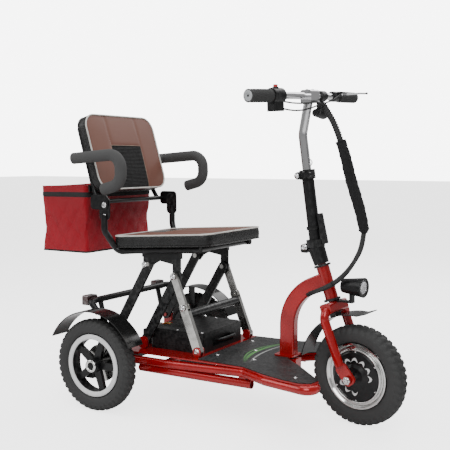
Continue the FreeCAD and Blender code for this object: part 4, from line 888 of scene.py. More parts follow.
# ---------------------------------------------------------------- tyres and wheels
@dataclass
class Tyre:
    """A pneumatic tyre with a blocked tread, shoulder lugs and a moulded sidewall."""

    name: str
    body: str
    node: str
    centre: Vector
    radius: float
    width: float
    axle: Vector = field(default_factory=lambda: Vector((0.0, 1.0, 0.0)))
    rim: float = 0.1045
    blocks: int = 44
    depth: float = 0.0046
    groove: float = 0.42
    shoulder: float = 1.22
    bead: float = 158.0
    crown: float = 68.0
    squareness: float = 0.78
    ridge: float = 0.0007
    steps: int = 324

    def section(self) -> list[tuple[float, float, float]]:
        """Works out the section.

        Returns:
            Radius, place along the axle and share of the tread for each point.
        """
        tall = (self.radius - self.rim) / 2 + 0.001
        middle = self.radius - tall
        points = []
        for i in range(45):
            angle = math.radians(-self.bead + 2 * self.bead * i / 44)
            side = math.copysign(abs(math.sin(angle)) ** self.squareness, math.sin(angle))
            out = math.copysign(abs(math.cos(angle)) ** self.squareness, math.cos(angle))
            points.append((middle + tall * out, self.width / 2 * side, math.degrees(angle) / self.crown))
        return points

    def relief(self, share: float, turn: float) -> float:
        """Works out how deep the tread is cut at a point.

        Args:
            share: from -1 to 1 across the tread, and beyond it on the sidewalls.
            turn: the angle round the tyre, in radians.

        Returns:
            The depth of the cut, in metres.
        """
        if abs(share) > self.shoulder:
            return 0.0
        lean = 5.0 * abs(share) if abs(share) < self.groove else 1.6 * abs(share)
        wave = math.sin(self.blocks * turn + lean + (1.6 if share > 0 else 0.0))
        cut = min(1.0, max(0.0, (wave - 0.1) * 3.2))
        groove = max(0.0, 1 - abs(abs(share) - self.groove) * 12)
        fade = min(1.0, (self.shoulder - abs(share)) * 6)
        return self.depth * fade * max(cut, groove)

    def build(self) -> bpy.types.Object:
        """Makes the tyre.

        Returns:
            The object.
        """
        place = aim(self.centre, self.axle)
        section = self.section()
        points, faces = [], []
        for i in range(self.steps):
            turn = 2 * math.pi * i / self.steps
            for radius, along, share in section:
                reach = radius - self.relief(share, turn)
                ridge = self.ridge if 1.12 < abs(share) < 1.2 or 1.75 < abs(share) < 1.83 else 0.0
                along += math.copysign(ridge, along)
                points.append(place @ Vector((reach * math.cos(turn), reach * math.sin(turn), along)))
        row = len(section)
        for i in range(self.steps):
            j = (i + 1) % self.steps
            for k in range(row):
                m = (k + 1) % row
                faces.append((i * row + k, i * row + m, j * row + m, j * row + k))
        return fit(mesh_piece(self.name, points, faces), self.body, Look.TYRE, self.node)


@dataclass
class RearWheel:
    """A rear wheel's tyre, bright hub ring, hub cap and valve."""

    side: str
    sign: int
    radius: float = 0.153
    width: float = 0.056
    hub_face: float = 0.0255
    rim_face: float = 0.0186
    valve: Point = (0.062, 0.01, 0.058)

    def build(self) -> None:
        """Makes the wheel's pieces."""
        side, body, node = self.side, f"rear_wheel_{self.side}", f"rear_tyre_{self.side}"
        low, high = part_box(node)
        centre = (low + high) / 2
        out = Vector((0.0, float(self.sign), 0.0))
        Tyre(f"tyre_{side}", body, node, centre, self.radius, self.width).build()
        face = aim(centre + out * self.hub_face, out)
        ring = [(0.0125, 0.001), (0.013, 0.007), (0.016, 0.0085), (0.0205, 0.007), (0.0215, 0.0),
                (0.0125, 0.001)]
        fit(turned(f"hub_ring_{side}", ring, face), body, Look.ALLOY)
        cap = [(0.0, 0.0035), (0.009, 0.0032), (0.0122, 0.0018), (0.0124, 0.0), (0.0, 0.0)]
        fit(turned(f"hub_cap_{side}", cap, face), body, Look.PLASTIC)
        lip = [(0.0868, 0.0), (0.0872, 0.003), (0.09, 0.0042), (0.1, 0.0042), (0.1032, 0.003), (0.1038, 0.0),
               (0.0868, 0.0)]
        fit(turned(f"rim_ring_{side}", lip, aim(centre + out * self.rim_face, out), 96), body, Look.WHITE)
        stem = [(0.0, 0.0), (0.004, 0.0), (0.004, 0.012), (0.0028, 0.014), (0.0028, 0.022), (0.0, 0.0225)]
        ahead, aside, up = self.valve
        foot = centre + Vector((ahead, aside * self.sign, up))
        fit(turned(f"valve_{side}", stem, aim(foot, (-1, 0, -1)), 16), body, Look.CABLE)
        LOG.info("rear wheel %s built", side)


@dataclass
class FrontWheel:
    """The front tyre, and the crescents and screws on the motor's cover."""

    radius: float = 0.159
    width: float = 0.060
    blocks: int = 42
    crescents: int = 12
    shown: int = 10
    spread: float = 0.44
    crescent_radius: float = 0.047
    outer_swell: float = 0.013
    inner_swell: float = 0.006
    screws: int = 6
    screw_radius: float = 0.0765
    cover_face: float = 0.0275
    bead_face: float = 0.0235

    def build(self) -> None:
        """Makes the wheel's pieces."""
        spin = joint_of("front_wheel_spin")
        centre, axle = Vector(spin["pos_m"]), Vector(spin["axis"])
        Tyre("tyre_front", "front_wheel", "front_tyre", centre, self.radius, self.width, axle,
             blocks=self.blocks).build()
        for side in (-1, 1):
            out = axle * side
            place = aim(centre + out * self.cover_face, out)
            for i in range(self.shown):
                self.crescent(f"crescent_{side + 1}_{i}", place, 2 * math.pi * i / self.crescents)
            for i in range(self.screws):
                turn = 2 * math.pi * (i + 0.5) / self.screws
                reach = self.screw_radius
                spot = place @ Vector((reach * math.cos(turn), reach * math.sin(turn), -0.0065))
                Bolt(0.0026, 0.0022).build(f"cover_screw_{side + 1}_{i}", "front_wheel", spot, out)
            ring = [(0.0805, -0.006), (0.081, 0.0), (0.084, 0.0015), (0.086, 0.0), (0.0862, -0.0075),
                    (0.0805, -0.006)]
            place = aim(centre + out * self.bead_face, out)
            fit(turned(f"rim_bead_{side + 1}", ring, place, 96), "front_wheel", Look.ALLOY)
        LOG.info("front wheel built with %d crescents a side", self.shown)

    def crescent(self, name: str, place: Matrix, turn: float) -> None:
        """Makes one raised crescent.

        Args:
            name: the piece's name.
            place: the cover's frame.
            turn: its angle round the cover.
        """
        outer, inner = [], []
        for i in range(13):
            share = i / 12
            angle = turn + (share - 0.5) * self.spread
            swell = math.sin(math.pi * share)
            outer.append((self.crescent_radius + self.outer_swell * swell, angle))
            inner.append((self.crescent_radius + self.inner_swell * swell, angle))
        rim = [(r * math.cos(a), r * math.sin(a)) for r, a in outer + inner[-2:0:-1]]
        count = len(rim)
        points = [place @ Vector((x, y, h)) for h in (-0.0025, 0.0012) for x, y in rim]
        faces = [tuple(range(count)), tuple(range(2 * count - 1, count - 1, -1))]
        faces += [(i, (i + 1) % count, count + (i + 1) % count, count + i) for i in range(count)]
        fit(mesh_piece(name, points, faces, False), "front_wheel", Look.WHITE)


# ---------------------------------------------------------------- cushions
@dataclass
class Cushion:
    """A stuffed pad with a piped edge: leather on its face, vinyl round its sides and beneath.

    The pad is laid out flat, blown up as cloth with its piped edge held, then sewn along its seams.
    """

    name: str
    body: str
    node: str
    place: Matrix
    width: float
    length: float
    thickness: float
    corner: float
    seams: tuple[float, float]
    panel: tuple[float, float]
    joint_panel: Look = Look.MESH
    cap: float = 0.009
    pressure: float = 5.0
    stiffness: float = 18.0
    frames: int = 20
    fill: float = 0.75
    seam_depth: float = 0.0028
    seam_width: float = 0.0045
    panel_depth: float = 0.0022
    panel_width: float = 0.005
    piping: float = 0.0027
    thread: float = 0.0011
    lift: float = 0.0004
    across: int = 46
    along: int = 46
    layers: int = 5

    def outline(self, u: float, v: float, inset: float = 0.0) -> tuple[float, float]:
        """Maps a square to the pad's rounded rectangle.

        Args:
            u: from -1 to 1 across.
            v: from -1 to 1 along.
            inset: how far inside the edge.

        Returns:
            The place on the pad, in metres from its middle.
        """
        half = (self.width / 2 - inset, self.length / 2 - inset)
        radius = max(self.corner - inset, 0.004)
        x, y = u * half[0], v * half[1]
        dx, dy = abs(x) - (half[0] - radius), abs(y) - (half[1] - radius)
        if dx > 0 and dy > 0:
            pull = max(dx, dy) / math.hypot(dx, dy)
            x = math.copysign(half[0] - radius + dx * pull, x)
            y = math.copysign(half[1] - radius + dy * pull, y)
        return x, y

    def columns(self) -> list[float]:
        """Spaces the columns so that two of them lie on the seams.

        Returns:
            The columns' places, from -1 to 1.
        """
        first, second = self.seams
        steps = [round(self.across * (first + 1) / 2), round(self.across * (second - first) / 2)]
        steps.append(self.across - sum(steps))
        marks = [-1.0, first, second, 1.0]
        spots = [-1.0]
        for low, high, count in zip(marks, marks[1:], steps):
            spots += [low + (high - low) * (i + 1) / count for i in range(count)]
        return spots

    def flat(self) -> tuple[list[Vector], list[tuple], list[int]]:
        """Lays out the pad before it is blown up.

        Returns:
            The points, the faces and the numbers of the points on the piped edges.
        """
        columns = self.columns()
        rows = [-1 + 2 * j / self.along for j in range(self.along + 1)]
        wide, tall = len(columns), len(rows)
        half = self.thickness / 2
        points = []
        for level in (half, -half):
            for v in rows:
                points += [Vector((*self.outline(u, v), level)) for u in columns]
        sheet = wide * tall
        faces = []
        for base, turn in ((0, 1), (sheet, -1)):
            for j in range(tall - 1):
                for i in range(wide - 1):
                    k = base + j * wide + i
                    faces.append((k, k + 1, k + wide + 1, k + wide)[::turn])
        edge = [i for i in range(wide)] + [wide * j + wide - 1 for j in range(1, tall)]
        edge += [sheet - 2 - i for i in range(wide - 1)] + [wide * j for j in range(tall - 2, 0, -1)]
        rings = [edge]
        for layer in range(1, self.layers):
            level = half - self.thickness * layer / self.layers
            swell = 1 + 0.004 * math.sin(math.pi * layer / self.layers) / self.width
            ring = []
            for k in edge:
                ring.append(len(points))
                points.append(Vector((points[k].x * swell, points[k].y * swell, level)))
            rings.append(ring)
        rings.append([sheet + k for k in edge])
        count = len(edge)
        for upper, lower in zip(rings, rings[1:]):
            for i in range(count):
                j = (i + 1) % count
                faces.append((upper[j], upper[i], lower[i], lower[j]))
        return points, faces, edge

    def inflate(self, pad: bpy.types.Object, held: Sequence[int]) -> None:
        """Blows the pad up as cloth, with the piped edges held, and keeps the result.

        Args:
            pad: the pad's object.
            held: the points that stay.
        """
        rest = [v.co.copy() for v in pad.data.vertices]
        group = pad.vertex_groups.new(name="held")
        group.add(list(held), 1.0, "REPLACE")
        cloth = pad.modifiers.new("cloth", "CLOTH")
        cloth.settings.quality = 5
        cloth.settings.mass = 0.25
        cloth.settings.use_pressure = True
        cloth.settings.uniform_pressure_force = self.pressure
        cloth.settings.effector_weights.gravity = 0.0
        cloth.settings.vertex_group_mass = "held"
        cloth.settings.tension_stiffness = self.stiffness
        cloth.settings.compression_stiffness = self.stiffness
        cloth.settings.bending_stiffness = 0.8
        cloth.point_cache.frame_start, cloth.point_cache.frame_end = 1, self.frames
        scene = bpy.context.scene
        for number in range(1, self.frames + 1):
            scene.frame_set(number)
        shaped = pad.evaluated_get(bpy.context.evaluated_depsgraph_get()).data
        found = [v.co.copy() for v in shaped.vertices]
        pad.modifiers.clear()
        pad.vertex_groups.clear()
        scene.frame_set(1)
        for vertex, start, end in zip(pad.data.vertices, rest, found):
            move = end - start
            if move.length > self.cap:
                move *= self.cap / move.length
            vertex.co = start + move

    def crown(self, pad: bpy.types.Object) -> None:
        """Raises the pad's faces in a dome where the cloth isn't simulated.

        Args:
            pad: the pad's object.
        """
        for vertex in pad.data.vertices:
            if abs(vertex.co.z) > self.thickness / 2 - 1e-5:
                u, v = vertex.co.x / self.width * 2, vertex.co.y / self.length * 2
                rise = self.cap * 0.8 * max(0.0, 1 - u**4) * max(0.0, 1 - v**4)
                vertex.co.z += math.copysign(rise, vertex.co.z)

    def sew(self, pad: bpy.types.Object) -> None:
        """Pulls the face in along its seams, and puckers it beside them.

        Args:
            pad: the pad's object.
        """
        half = self.width / 2
        low, high = self.panel
        for vertex in pad.data.vertices:
            if vertex.co.z < self.thickness * 0.3:
                continue
            v = vertex.co.y / self.length * 2
            for seam in self.seams:
                away = abs(vertex.co.x - seam * half)
                pucker = 1 + 0.3 * math.sin(v * 70)
                vertex.co.z -= self.seam_depth * math.exp(-(away / self.seam_width) ** 2) * pucker
            inside = self.seams[0] * half < vertex.co.x < self.seams[1] * half
            if inside:
                away = min(abs(vertex.co.y - edge * self.length / 2) for edge in (low, high) if abs(edge) < 1)
                vertex.co.z -= self.panel_depth * math.exp(-(away / self.panel_width) ** 2)

    def dress(self, pad: bpy.types.Object) -> None:
        """Gives each face its leather, mesh or vinyl.

        Args:
            pad: the pad's object.
        """
        for look in (Look.LEATHER, self.joint_panel, Look.VINYL):
            pad.data.materials.append(look.value.material())
        top = (len(self.columns()) - 1) * self.along
        for face in pad.data.polygons:
            if face.index >= top:
                face.material_index = 2
                continue
            u = face.center.x / self.width * 2
            v = face.center.y / self.length * 2
            inside = self.seams[0] < u < self.seams[1] and self.panel[0] < v < self.panel[1]
            face.material_index = 1 if inside else 0

    def build(self) -> None:
        """Makes the pad, its piping and its seam threads."""
        points, faces, edge = self.flat()
        pad = mesh_piece(self.name, points, faces)
        sheet = len(self.columns()) * (self.along + 1)
        held = edge + [sheet + k for k in edge]
        self.inflate(pad, held)
        self.sew(pad)
        self.dress(pad)
        rim = [pad.data.vertices[k].co.copy() for k in edge]
        seams = [self.seam_line(pad, seam) for seam in self.seams]
        panel = self.panel_line(pad)
        pad.data.transform(self.place)
        smooth = pad.modifiers.new("smooth", "SUBSURF")
        smooth.levels = smooth.render_levels = 1
        fit(pad, self.body, Look.LEATHER, self.node)
        for tag, level in (("piping", 0.0), ("lower_piping", -self.thickness)):
            line = [self.place @ (p + Vector((0, 0,
                                              level + (0.0008 if level == 0 else 0.0)))) for p in rim[::2]]
            look = Look.PIPING if level == 0 else Look.VINYL
            fit(strand(f"{self.name}_{tag}", line, self.piping, True), self.body, look)
        for number, line in enumerate(seams + [panel]):
            spots = [self.place @ p for p in line]
            fit(strand(f"{self.name}_seam_{number}", spots, self.thread), self.body, Look.THREAD)
        LOG.info("%s built with %d points", self.name, len(points))

    def seam_line(self, pad: bpy.types.Object, seam: float) -> list[Vector]:
        """Reads the line of one seam off the pad.

        Args:
            pad: the pad's object.
            seam: the seam's place across, from -1 to 1.

        Returns:
            The points of the line.
        """
        columns = self.columns()
        column = min(range(len(columns)), key=lambda i: abs(columns[i] - seam))
        wide = len(columns)
        rows = range(0, self.along + 1, 2)
        return [pad.data.vertices[j * wide + column].co + Vector((0, 0, self.lift)) for j in rows]

    def panel_line(self, pad: bpy.types.Object) -> list[Vector]:
        """Reads the cross seam at the end of the inset panel off the pad.

        Args:
            pad: the pad's object.

        Returns:
            The points of the line.
        """
        columns = self.columns()
        wide = len(columns)
        edge = next(e for e in self.panel[::-1] if abs(e) < 1)
        row = round((edge + 1) / 2 * self.along)
        low = min(range(wide), key=lambda i: abs(columns[i] - self.seams[0]))
        high = min(range(wide), key=lambda i: abs(columns[i] - self.seams[1]))
        return [pad.data.vertices[row * wide + i].co + Vector((0, 0, self.lift)) for i in range(low,
                                                                                                high + 1)]


def seat_cushion() -> Cushion:
    """Describes the seat cushion.

    Returns:
        The cushion, ready to build.
    """
    tilt = Matrix.Rotation(math.radians(-3.5), 4, "Y")
    middle = mm(-28, 0, 506) + tilt.to_3x3() @ Vector((0.194, 0.0, 0.0415))
    turn = Matrix(((0, 1, 0), (-1, 0, 0), (0, 0, 1))).to_4x4()
    place = Matrix.Translation(middle) @ tilt @ turn
    return Cushion("seat_pad", "seat_carrier", "seat_cushion", place, 0.376, 0.384, 0.036, 0.04,
                   (-0.44, 0.44),
                   (-1.0, -0.2), Look.LEATHER_DARK)


def back_cushion() -> Cushion:
    """Describes the back cushion.

    Returns:
        The cushion, ready to build.
    """
    lean = math.radians(16.5)
    up = Vector((-math.sin(lean), 0, math.cos(lean)))
    forward = Vector((math.cos(lean), 0, math.sin(lean)))
    middle = mm(-44, 0, 674) + up * (0.052 + 0.138) - forward * 0.0235
    left = Vector((0, 1, 0))
    place = Matrix.Translation(middle) @ Matrix((left, up, forward)).transposed().to_4x4()
    return Cushion("back_pad", "backrest", "backrest_cushion", place, 0.386, 0.27, 0.036, 0.05, (-0.44, 0.44),
                   (-1.0, 0.16))


# ---------------------------------------------------------------- basket
@dataclass
class Basket:
    """The nylon basket: one sewn shell that sags between its hooks, bound in webbing."""

    back: float = -348.0
    front: float = -134.0
    half: float = 191.0
    base: float = 501.0
    rim: float = 739.0
    corner: float = 16.0
    cloth: float = 0.0024
    band: tuple[float, float] = (0.83, 0.9)
    around: int = 176
    rows: int = 40

    def edge(self, share: float) -> tuple[float, float, float, float]:
        """Walks round the basket's plan.

        Args:
            share: from 0 to 1 round.

        Returns:
            The place, x and y, and the outward direction.
        """
        radius = self.corner
        sides = [(self.front - radius, -self.half, -1, 0, 0, -1),
                 (self.back, -self.half + radius, 0, 1, -1, 0),
                 (self.back + radius, self.half, 1, 0, 0, 1), (self.front, self.half - radius, 0, -1, 1, 0)]
        spans = [self.front - self.back - 2 * radius, 2 * self.half - 2 * radius] * 2
        arc = math.pi / 2 * radius
        run = share * (sum(spans) + 4 * arc)
        for (x, y, dx, dy, nx, ny), span in zip(sides, spans):
            if run <= span:
                return x + dx * run, y + dy * run, nx, ny
            run -= span
            if run <= arc:
                angle = run / radius
                cx, cy = x + dx * span - nx * radius, y + dy * span - ny * radius
                ox = nx * math.cos(angle) + dx * math.sin(angle)
                oy = ny * math.cos(angle) + dy * math.sin(angle)
                return cx + ox * radius, cy + oy * radius, ox, oy
            run -= arc
        return sides[0][0], sides[0][1], 0, -1

    def folds(self, share: float, level: float) -> float:
        """Works out how far the cloth stands in at a point, in slack folds and slanting creases.

        Args:
            share: from 0 to 1 round.
            level: from 0 at the base to 1 at the rim.

        Returns:
            The distance inward, in millimetres.
        """
        belly = math.sin(math.pi * min(level / 0.85, 1.0))
        broad = 2.6 + 2.4 * math.sin(share * 37 + 2.1 * math.sin(level * 5))
        rising = abs(math.sin(share * 61 + level * 7.5)) ** 0.6
        falling = abs(math.sin(share * 47 - level * 9.0 + 1.3)) ** 0.5
        slant = rising + falling
        return belly * (1.2 * broad + 4.2 * (2 - slant)) + 1.2 * (1 - abs(2 * level - 1))

    def build(self) -> None:
        """Makes the shell, its floor, its bindings, its hooks and the tightening strap."""
        points, faces, marks = [], [], []
        for j in range(self.rows + 1):
            level = j / self.rows
            z = self.base + 1 + (self.rim - self.base - 2) * level
            for i in range(self.around):
                share = i / self.around
                x, y, nx, ny = self.edge(share)
                band = self.band[0] < level < self.band[1]
                inward = 1.2 if band or level > 0.985 or level < 0.02 else 2.0 + self.folds(share, level)
                droop = 5.0 * math.sin(math.pi * 2 * share) ** 2 * level**6
                points.append(mm(x - nx * inward, y - ny * inward, z - droop))
        for j in range(self.rows):
            level = (j + 0.5) / self.rows
            for i in range(self.around):
                k = (i + 1) % self.around
                low, high = j * self.around, (j + 1) * self.around
                faces.append((low + i, low + k, high + k, high + i))
                marks.append(1 if self.band[0] < level < self.band[1] or level < 0.03 else 0)
        for ring in range(1, 9):
            inset = ring / 9
            for i in range(self.around):
                x, y, _, _ = self.edge(i / self.around)
                middle = (self.front + self.back) / 2
                sag = 1.5 * math.sin(math.pi * inset) + 0.8 * math.sin(i * 0.35) * inset
                points.append(mm(middle + (x - middle) * (1 - inset), y * (1 - inset),
                                 self.base + 1.5 + abs(sag)))
            low = 0 if ring == 1 else (self.rows + ring - 1) * self.around
            high = (self.rows + ring) * self.around
            for i in range(self.around):
                k = (i + 1) % self.around
                faces.append((low + k, low + i, high + i, high + k))
                marks.append(0)
        last = (self.rows + 8) * self.around
        faces.append(tuple(last + i for i in range(self.around)))
        marks.append(0)
        shell = mesh_piece("basket_shell", points, faces)
        shell.data.materials.append(Look.NYLON.value.material())
        shell.data.materials.append(Look.WEBBING.value.material())
        for face, mark in zip(shell.data.polygons, marks):
            face.material_index = mark
        skin = shell.modifiers.new("thickness", "SOLIDIFY")
        skin.thickness, skin.offset = self.cloth, -1.0
        fit(shell, "basket", Look.NYLON, "basket")
        self.hooks()
        self.strap()
        LOG.info("basket built with %d faces", len(faces))

    def hooks(self) -> None:
        """Makes the two steel hooks over the hanger bar."""
        for side, sign in SIDES:
            low, high = sorted((sign * 70, sign * 92))
            for tag, near, far in (("plate", (self.front + 0.2, 708), (self.front + 2.5, 746)),
                                   ("cap", (self.front + 0.2, 743), (self.front + 14, 746)),
                                   ("lip", (self.front + 12, 729), (self.front + 14, 746))):
                piece = box_piece(f"basket_hook_{tag}_{side}", mm(near[0], low, near[1]),
                                  mm(far[0], high, far[1]),
                                  0.0006)
                fit(piece, "basket", Look.POWDER)

    def strap(self) -> None:
        """Makes the strap that crosses the basket's front corner, with its clip."""
        front = self.front
        points = [(front + 3.5, -150, 712), (front + 4.5, -128, 684), (front + 4.5, -108, 655),
                  (front + 4, -96, 630)]
        width = Vector((0.0, 0.010, 0.006))
        line = [mm(*p) for p in points]
        rows = [p + width * s + Vector((d, 0, 0)) for d in (0.0, 0.0012) for p in line for s in (-1, 1)]
        count = len(line) * 2
        faces = []
        for i in range(0, count - 2, 2):
            faces += [(i, i + 1, i + 3, i + 2), (count + i + 2, count + i + 3, count + i + 1, count + i)]
            faces += [(i, i + 2, count + i + 2, count + i), (i + 3, i + 1, count + i + 1, count + i + 3)]
        faces += [(1, 0, count, count + 1), (count - 2, count - 1, 2 * count - 1, 2 * count - 2)]
        fit(mesh_piece("basket_strap", rows, faces, False), "basket", Look.WEBBING)
        clip = box_piece("basket_clip", mm(front + 3, -103, 606), mm(front + 7, -89, 632), 0.0012)
        fit(clip, "basket", Look.CHROME)


# ---------------------------------------------------------------- cables
def route_line(points: Sequence[Sequence[float]]) -> list[Vector]:
    """Reads closely spaced points from the smooth line of a route.

    Args:
        points: the route's control points, in metres.

    Returns:
        The points.
    """
    guide = strand("route_guide", points, 0.0)
    guide.data.use_fill_caps = False
    guide.data.resolution_u = 16
    bpy.context.view_layer.update()
    mesh = bpy.data.meshes.new_from_object(guide.evaluated_get(bpy.context.evaluated_depsgraph_get()))
    line = [v.co.copy() for v in mesh.vertices]
    data = guide.data
    bpy.data.objects.remove(guide)
    bpy.data.curves.remove(data)
    bpy.data.meshes.remove(mesh)
    return line


def run_length(line: Sequence[Vector]) -> float:
    """Adds up a line's length.

    Args:
        line: its points.

    Returns:
        The length in metres.
    """
    return sum((b - a).length for a, b in zip(line, line[1:]))


def tube_along(name: str, line: Sequence[Vector], radius: Callable[[float, float], float],
               step: float = 0.0016,
               around: int = 28) -> bpy.types.Object:
    """Sweeps a tube along a line, with a radius that may vary along it and round it.

    Args:
        name: the piece's name.
        line: the line's points.
        radius: the radius at a distance along and an angle round.
        step: the spacing of the rings.
        around: how many points round each.

    Returns:
        The object.
    """
    total = run_length(line)
    count = max(4, round(total / step))
    spots, reach, number = [], 0.0, 0
    for i in range(count + 1):
        want = total * i / count
        while number < len(line) - 2 and reach + (line[number + 1] - line[number]).length < want:
            reach += (line[number + 1] - line[number]).length
            number += 1
        leg = line[number + 1] - line[number]
        spots.append(line[number] + leg * min(1.0, (want - reach) / max(leg.length, 1e-9)))
    points, faces = [], []
    side = Vector((0.0, 1.0, 0.0))
    for i, spot in enumerate(spots):
        way = (spots[min(i + 1, count)] - spots[max(i - 1, 0)]).normalized()
        side = (side - way * side.dot(way)).normalized()
        other = way.cross(side)
        for k in range(around):
            angle = 2 * math.pi * k / around
            reach_out = radius(total * i / count, angle)
            points.append(spot + (side * math.cos(angle) + other * math.sin(angle)) * reach_out)
    for i in range(count):
        for k in range(around):
            m = (k + 1) % around
            faces.append((i * around + k, i * around + m, (i + 1) * around + m, (i + 1) * around + k))
    faces.append(tuple(range(around)))
    faces.append(tuple(count * around + k for k in range(around)))
    return mesh_piece(name, points, faces)


@dataclass
class Harness:
    """The cables from the bar to the neck: a spiral wrap, a woven sleeve and a plain tail."""

    top: Sequence[Point] = ((666, 0, 1001), (685, 0, 973), (711, 0, 931), (728, 0, 884))
    sleeve: Sequence[Point] = ((728, 0, 884), (745, 0, 836), (759, 0, 778), (778, 0, 720), (797, 0, 664),
                               (808, 0, 612))
    tail: Sequence[Point] = ((808, 0, 607), (806, -6, 562), (788, -20, 516), (762, -36, 474), (728, -46, 444),
                             (690, -46, 424), (656, -36, 410), (628, -14, 398))
    wrap_length: float = 0.133
    sleeve_length: float = 0.284
    tie: Point = (728, -46, 444)
    wire: float = 0.0026

    def build(self) -> None:
        """Makes the three runs and the small cables that feed them."""
        top = route_line([mm(*p) for p in self.top])
        wrap = tube_along("cable_wrap", top, self.wound, 0.0009, 24)
        fit(wrap, "handlebar", Look.CABLE, "harness_upper")
        self.covered()
        self.loose_end()
        self.feeders()

    def loose_end(self) -> None:
        """Makes the tail in two lengths, tied together beside the lamp."""
        line = route_line([mm(*p) for p in self.tail])
        tie = mm(*self.tie)
        split = min(range(len(line)), key=lambda i: (line[i] - tie).length)
        halves = {
            "cable_drop": (line[:split + 1], "stem", "steering", mm(806, -6, 590), mm(746, -42, 458)),
            "cable_tail": (line[split:], "steering", "frame", mm(712, -46, 436), mm(640, -26, 404)),
        }
        for name, (run, first, last, start, end) in halves.items():
            piece = tube_along(name, run, self.bundled, 0.003, 32)
            piece.data.materials.append(Look.CABLE.value.material())
            if name == "cable_tail":
                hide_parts("harness_lower")
            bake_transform(piece)
            LOG.info("%s is %.3f m long", name, run_length(run))
        band = [(0.0076, -0.003), (0.0092, -0.0026), (0.0094, 0.0), (0.0092, 0.0026), (0.0076, 0.003),
                (0.0076, -0.003)]
        way = line[split + 1] - line[split - 1]
        fit(turned("cable_tie", band, aim(line[split], way), 32), "steering", Look.PLASTIC)

    @staticmethod
    def wound(along: float, angle: float) -> float:
        """The wrap's radius: a flat strip wound with a small gap between turns."""
        turn = (along / 0.0085 - angle / (2 * math.pi)) % 1.0
        return 0.0102 if turn < 0.74 else 0.0079

    @staticmethod
    def bundled(along: float, angle: float) -> float:
        """The tail's radius: four wires that twist slowly round each other."""
        return 0.0058 + 0.0022 * abs(math.cos(2 * (angle + along * 11)))

    @staticmethod
    def padded(along: float, angle: float) -> float:
        """The sleeve's radius: soft, with shallow folds and a closing flap."""
        broad = 0.0005 * math.sin(along * 150 + 1.6 * math.sin(angle * 2))
        folds = broad + 0.0004 * math.sin(along * 310 + angle * 3)
        flap = 0.0007 if 0.7 < angle < 1.9 else 0.0
        return 0.0156 + 0.0018 * math.sin(math.pi * min(1.0, along / 0.284)) + folds + flap

    def covered(self) -> None:
        """Makes the sleeve and its hems."""
        line = route_line([mm(*p) for p in self.sleeve])
        sleeve = tube_along("cable_sleeve", line, self.padded, 0.003, 32)
        sleeve.data.materials.append(Look.SLEEVE.value.material())
        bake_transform(sleeve)
        for number, spot in enumerate((0.004, -0.004)):
            at, way = (line[0], line[1] - line[0]) if spot > 0 else (line[-1], line[-1] - line[-2])
            hem = [(0.0, 0.0), (0.0166, 0.0), (0.0171, 0.001), (0.0171, 0.003), (0.0166, 0.004), (0.0, 0.004)]
            if spot < 0:
                hem = [(0.0, 0.0), (0.0166, 0.0), (0.0168, 0.004), (0.0112, 0.011), (0.0084, 0.016),
                       (0.0, 0.016)]
            place = aim(at - way.normalized() * (0.0 if spot > 0 else 0.004), way)
            piece = turned(f"sleeve_hem_{number}", hem, place, 32)
            fit(piece, "handlebar" if spot > 0 else "stem", Look.SLEEVE)

    def feeders(self) -> None:
        """Makes the thin cables from the switches and the lever into the wrap."""
        neck = mm(672, 0, 992)
        runs = {
            "throttle_cable": ((600, -164, 1004), (622, -140, 986), (652, -96, 978), (672, -52, 986),
                               (676, -18, 996)),
            "switch_cable": ((604, -162, 1018), (634, -130, 1004), (664, -82, 1000), (682, -40, 1004),
                             (680, -14, 1002)),
            "lever_cable": ((668, 128, 1030), (676, 92, 1022), (686, 52, 1010), (684, 20, 1004),
                            (676, 6, 998)),
            "horn_cable": ((632, 38, 968), (648, 24, 962), (664, 12, 972), (672, 4, 984)),
        }
        for name, run in runs.items():
            line = route_line([steered(mm(*p)) for p in run] + [neck])
            cable = fit(strand(name, [steered(mm(*p)) for p in run] + [neck], self.wire), "handlebar",
                        Look.CABLE)


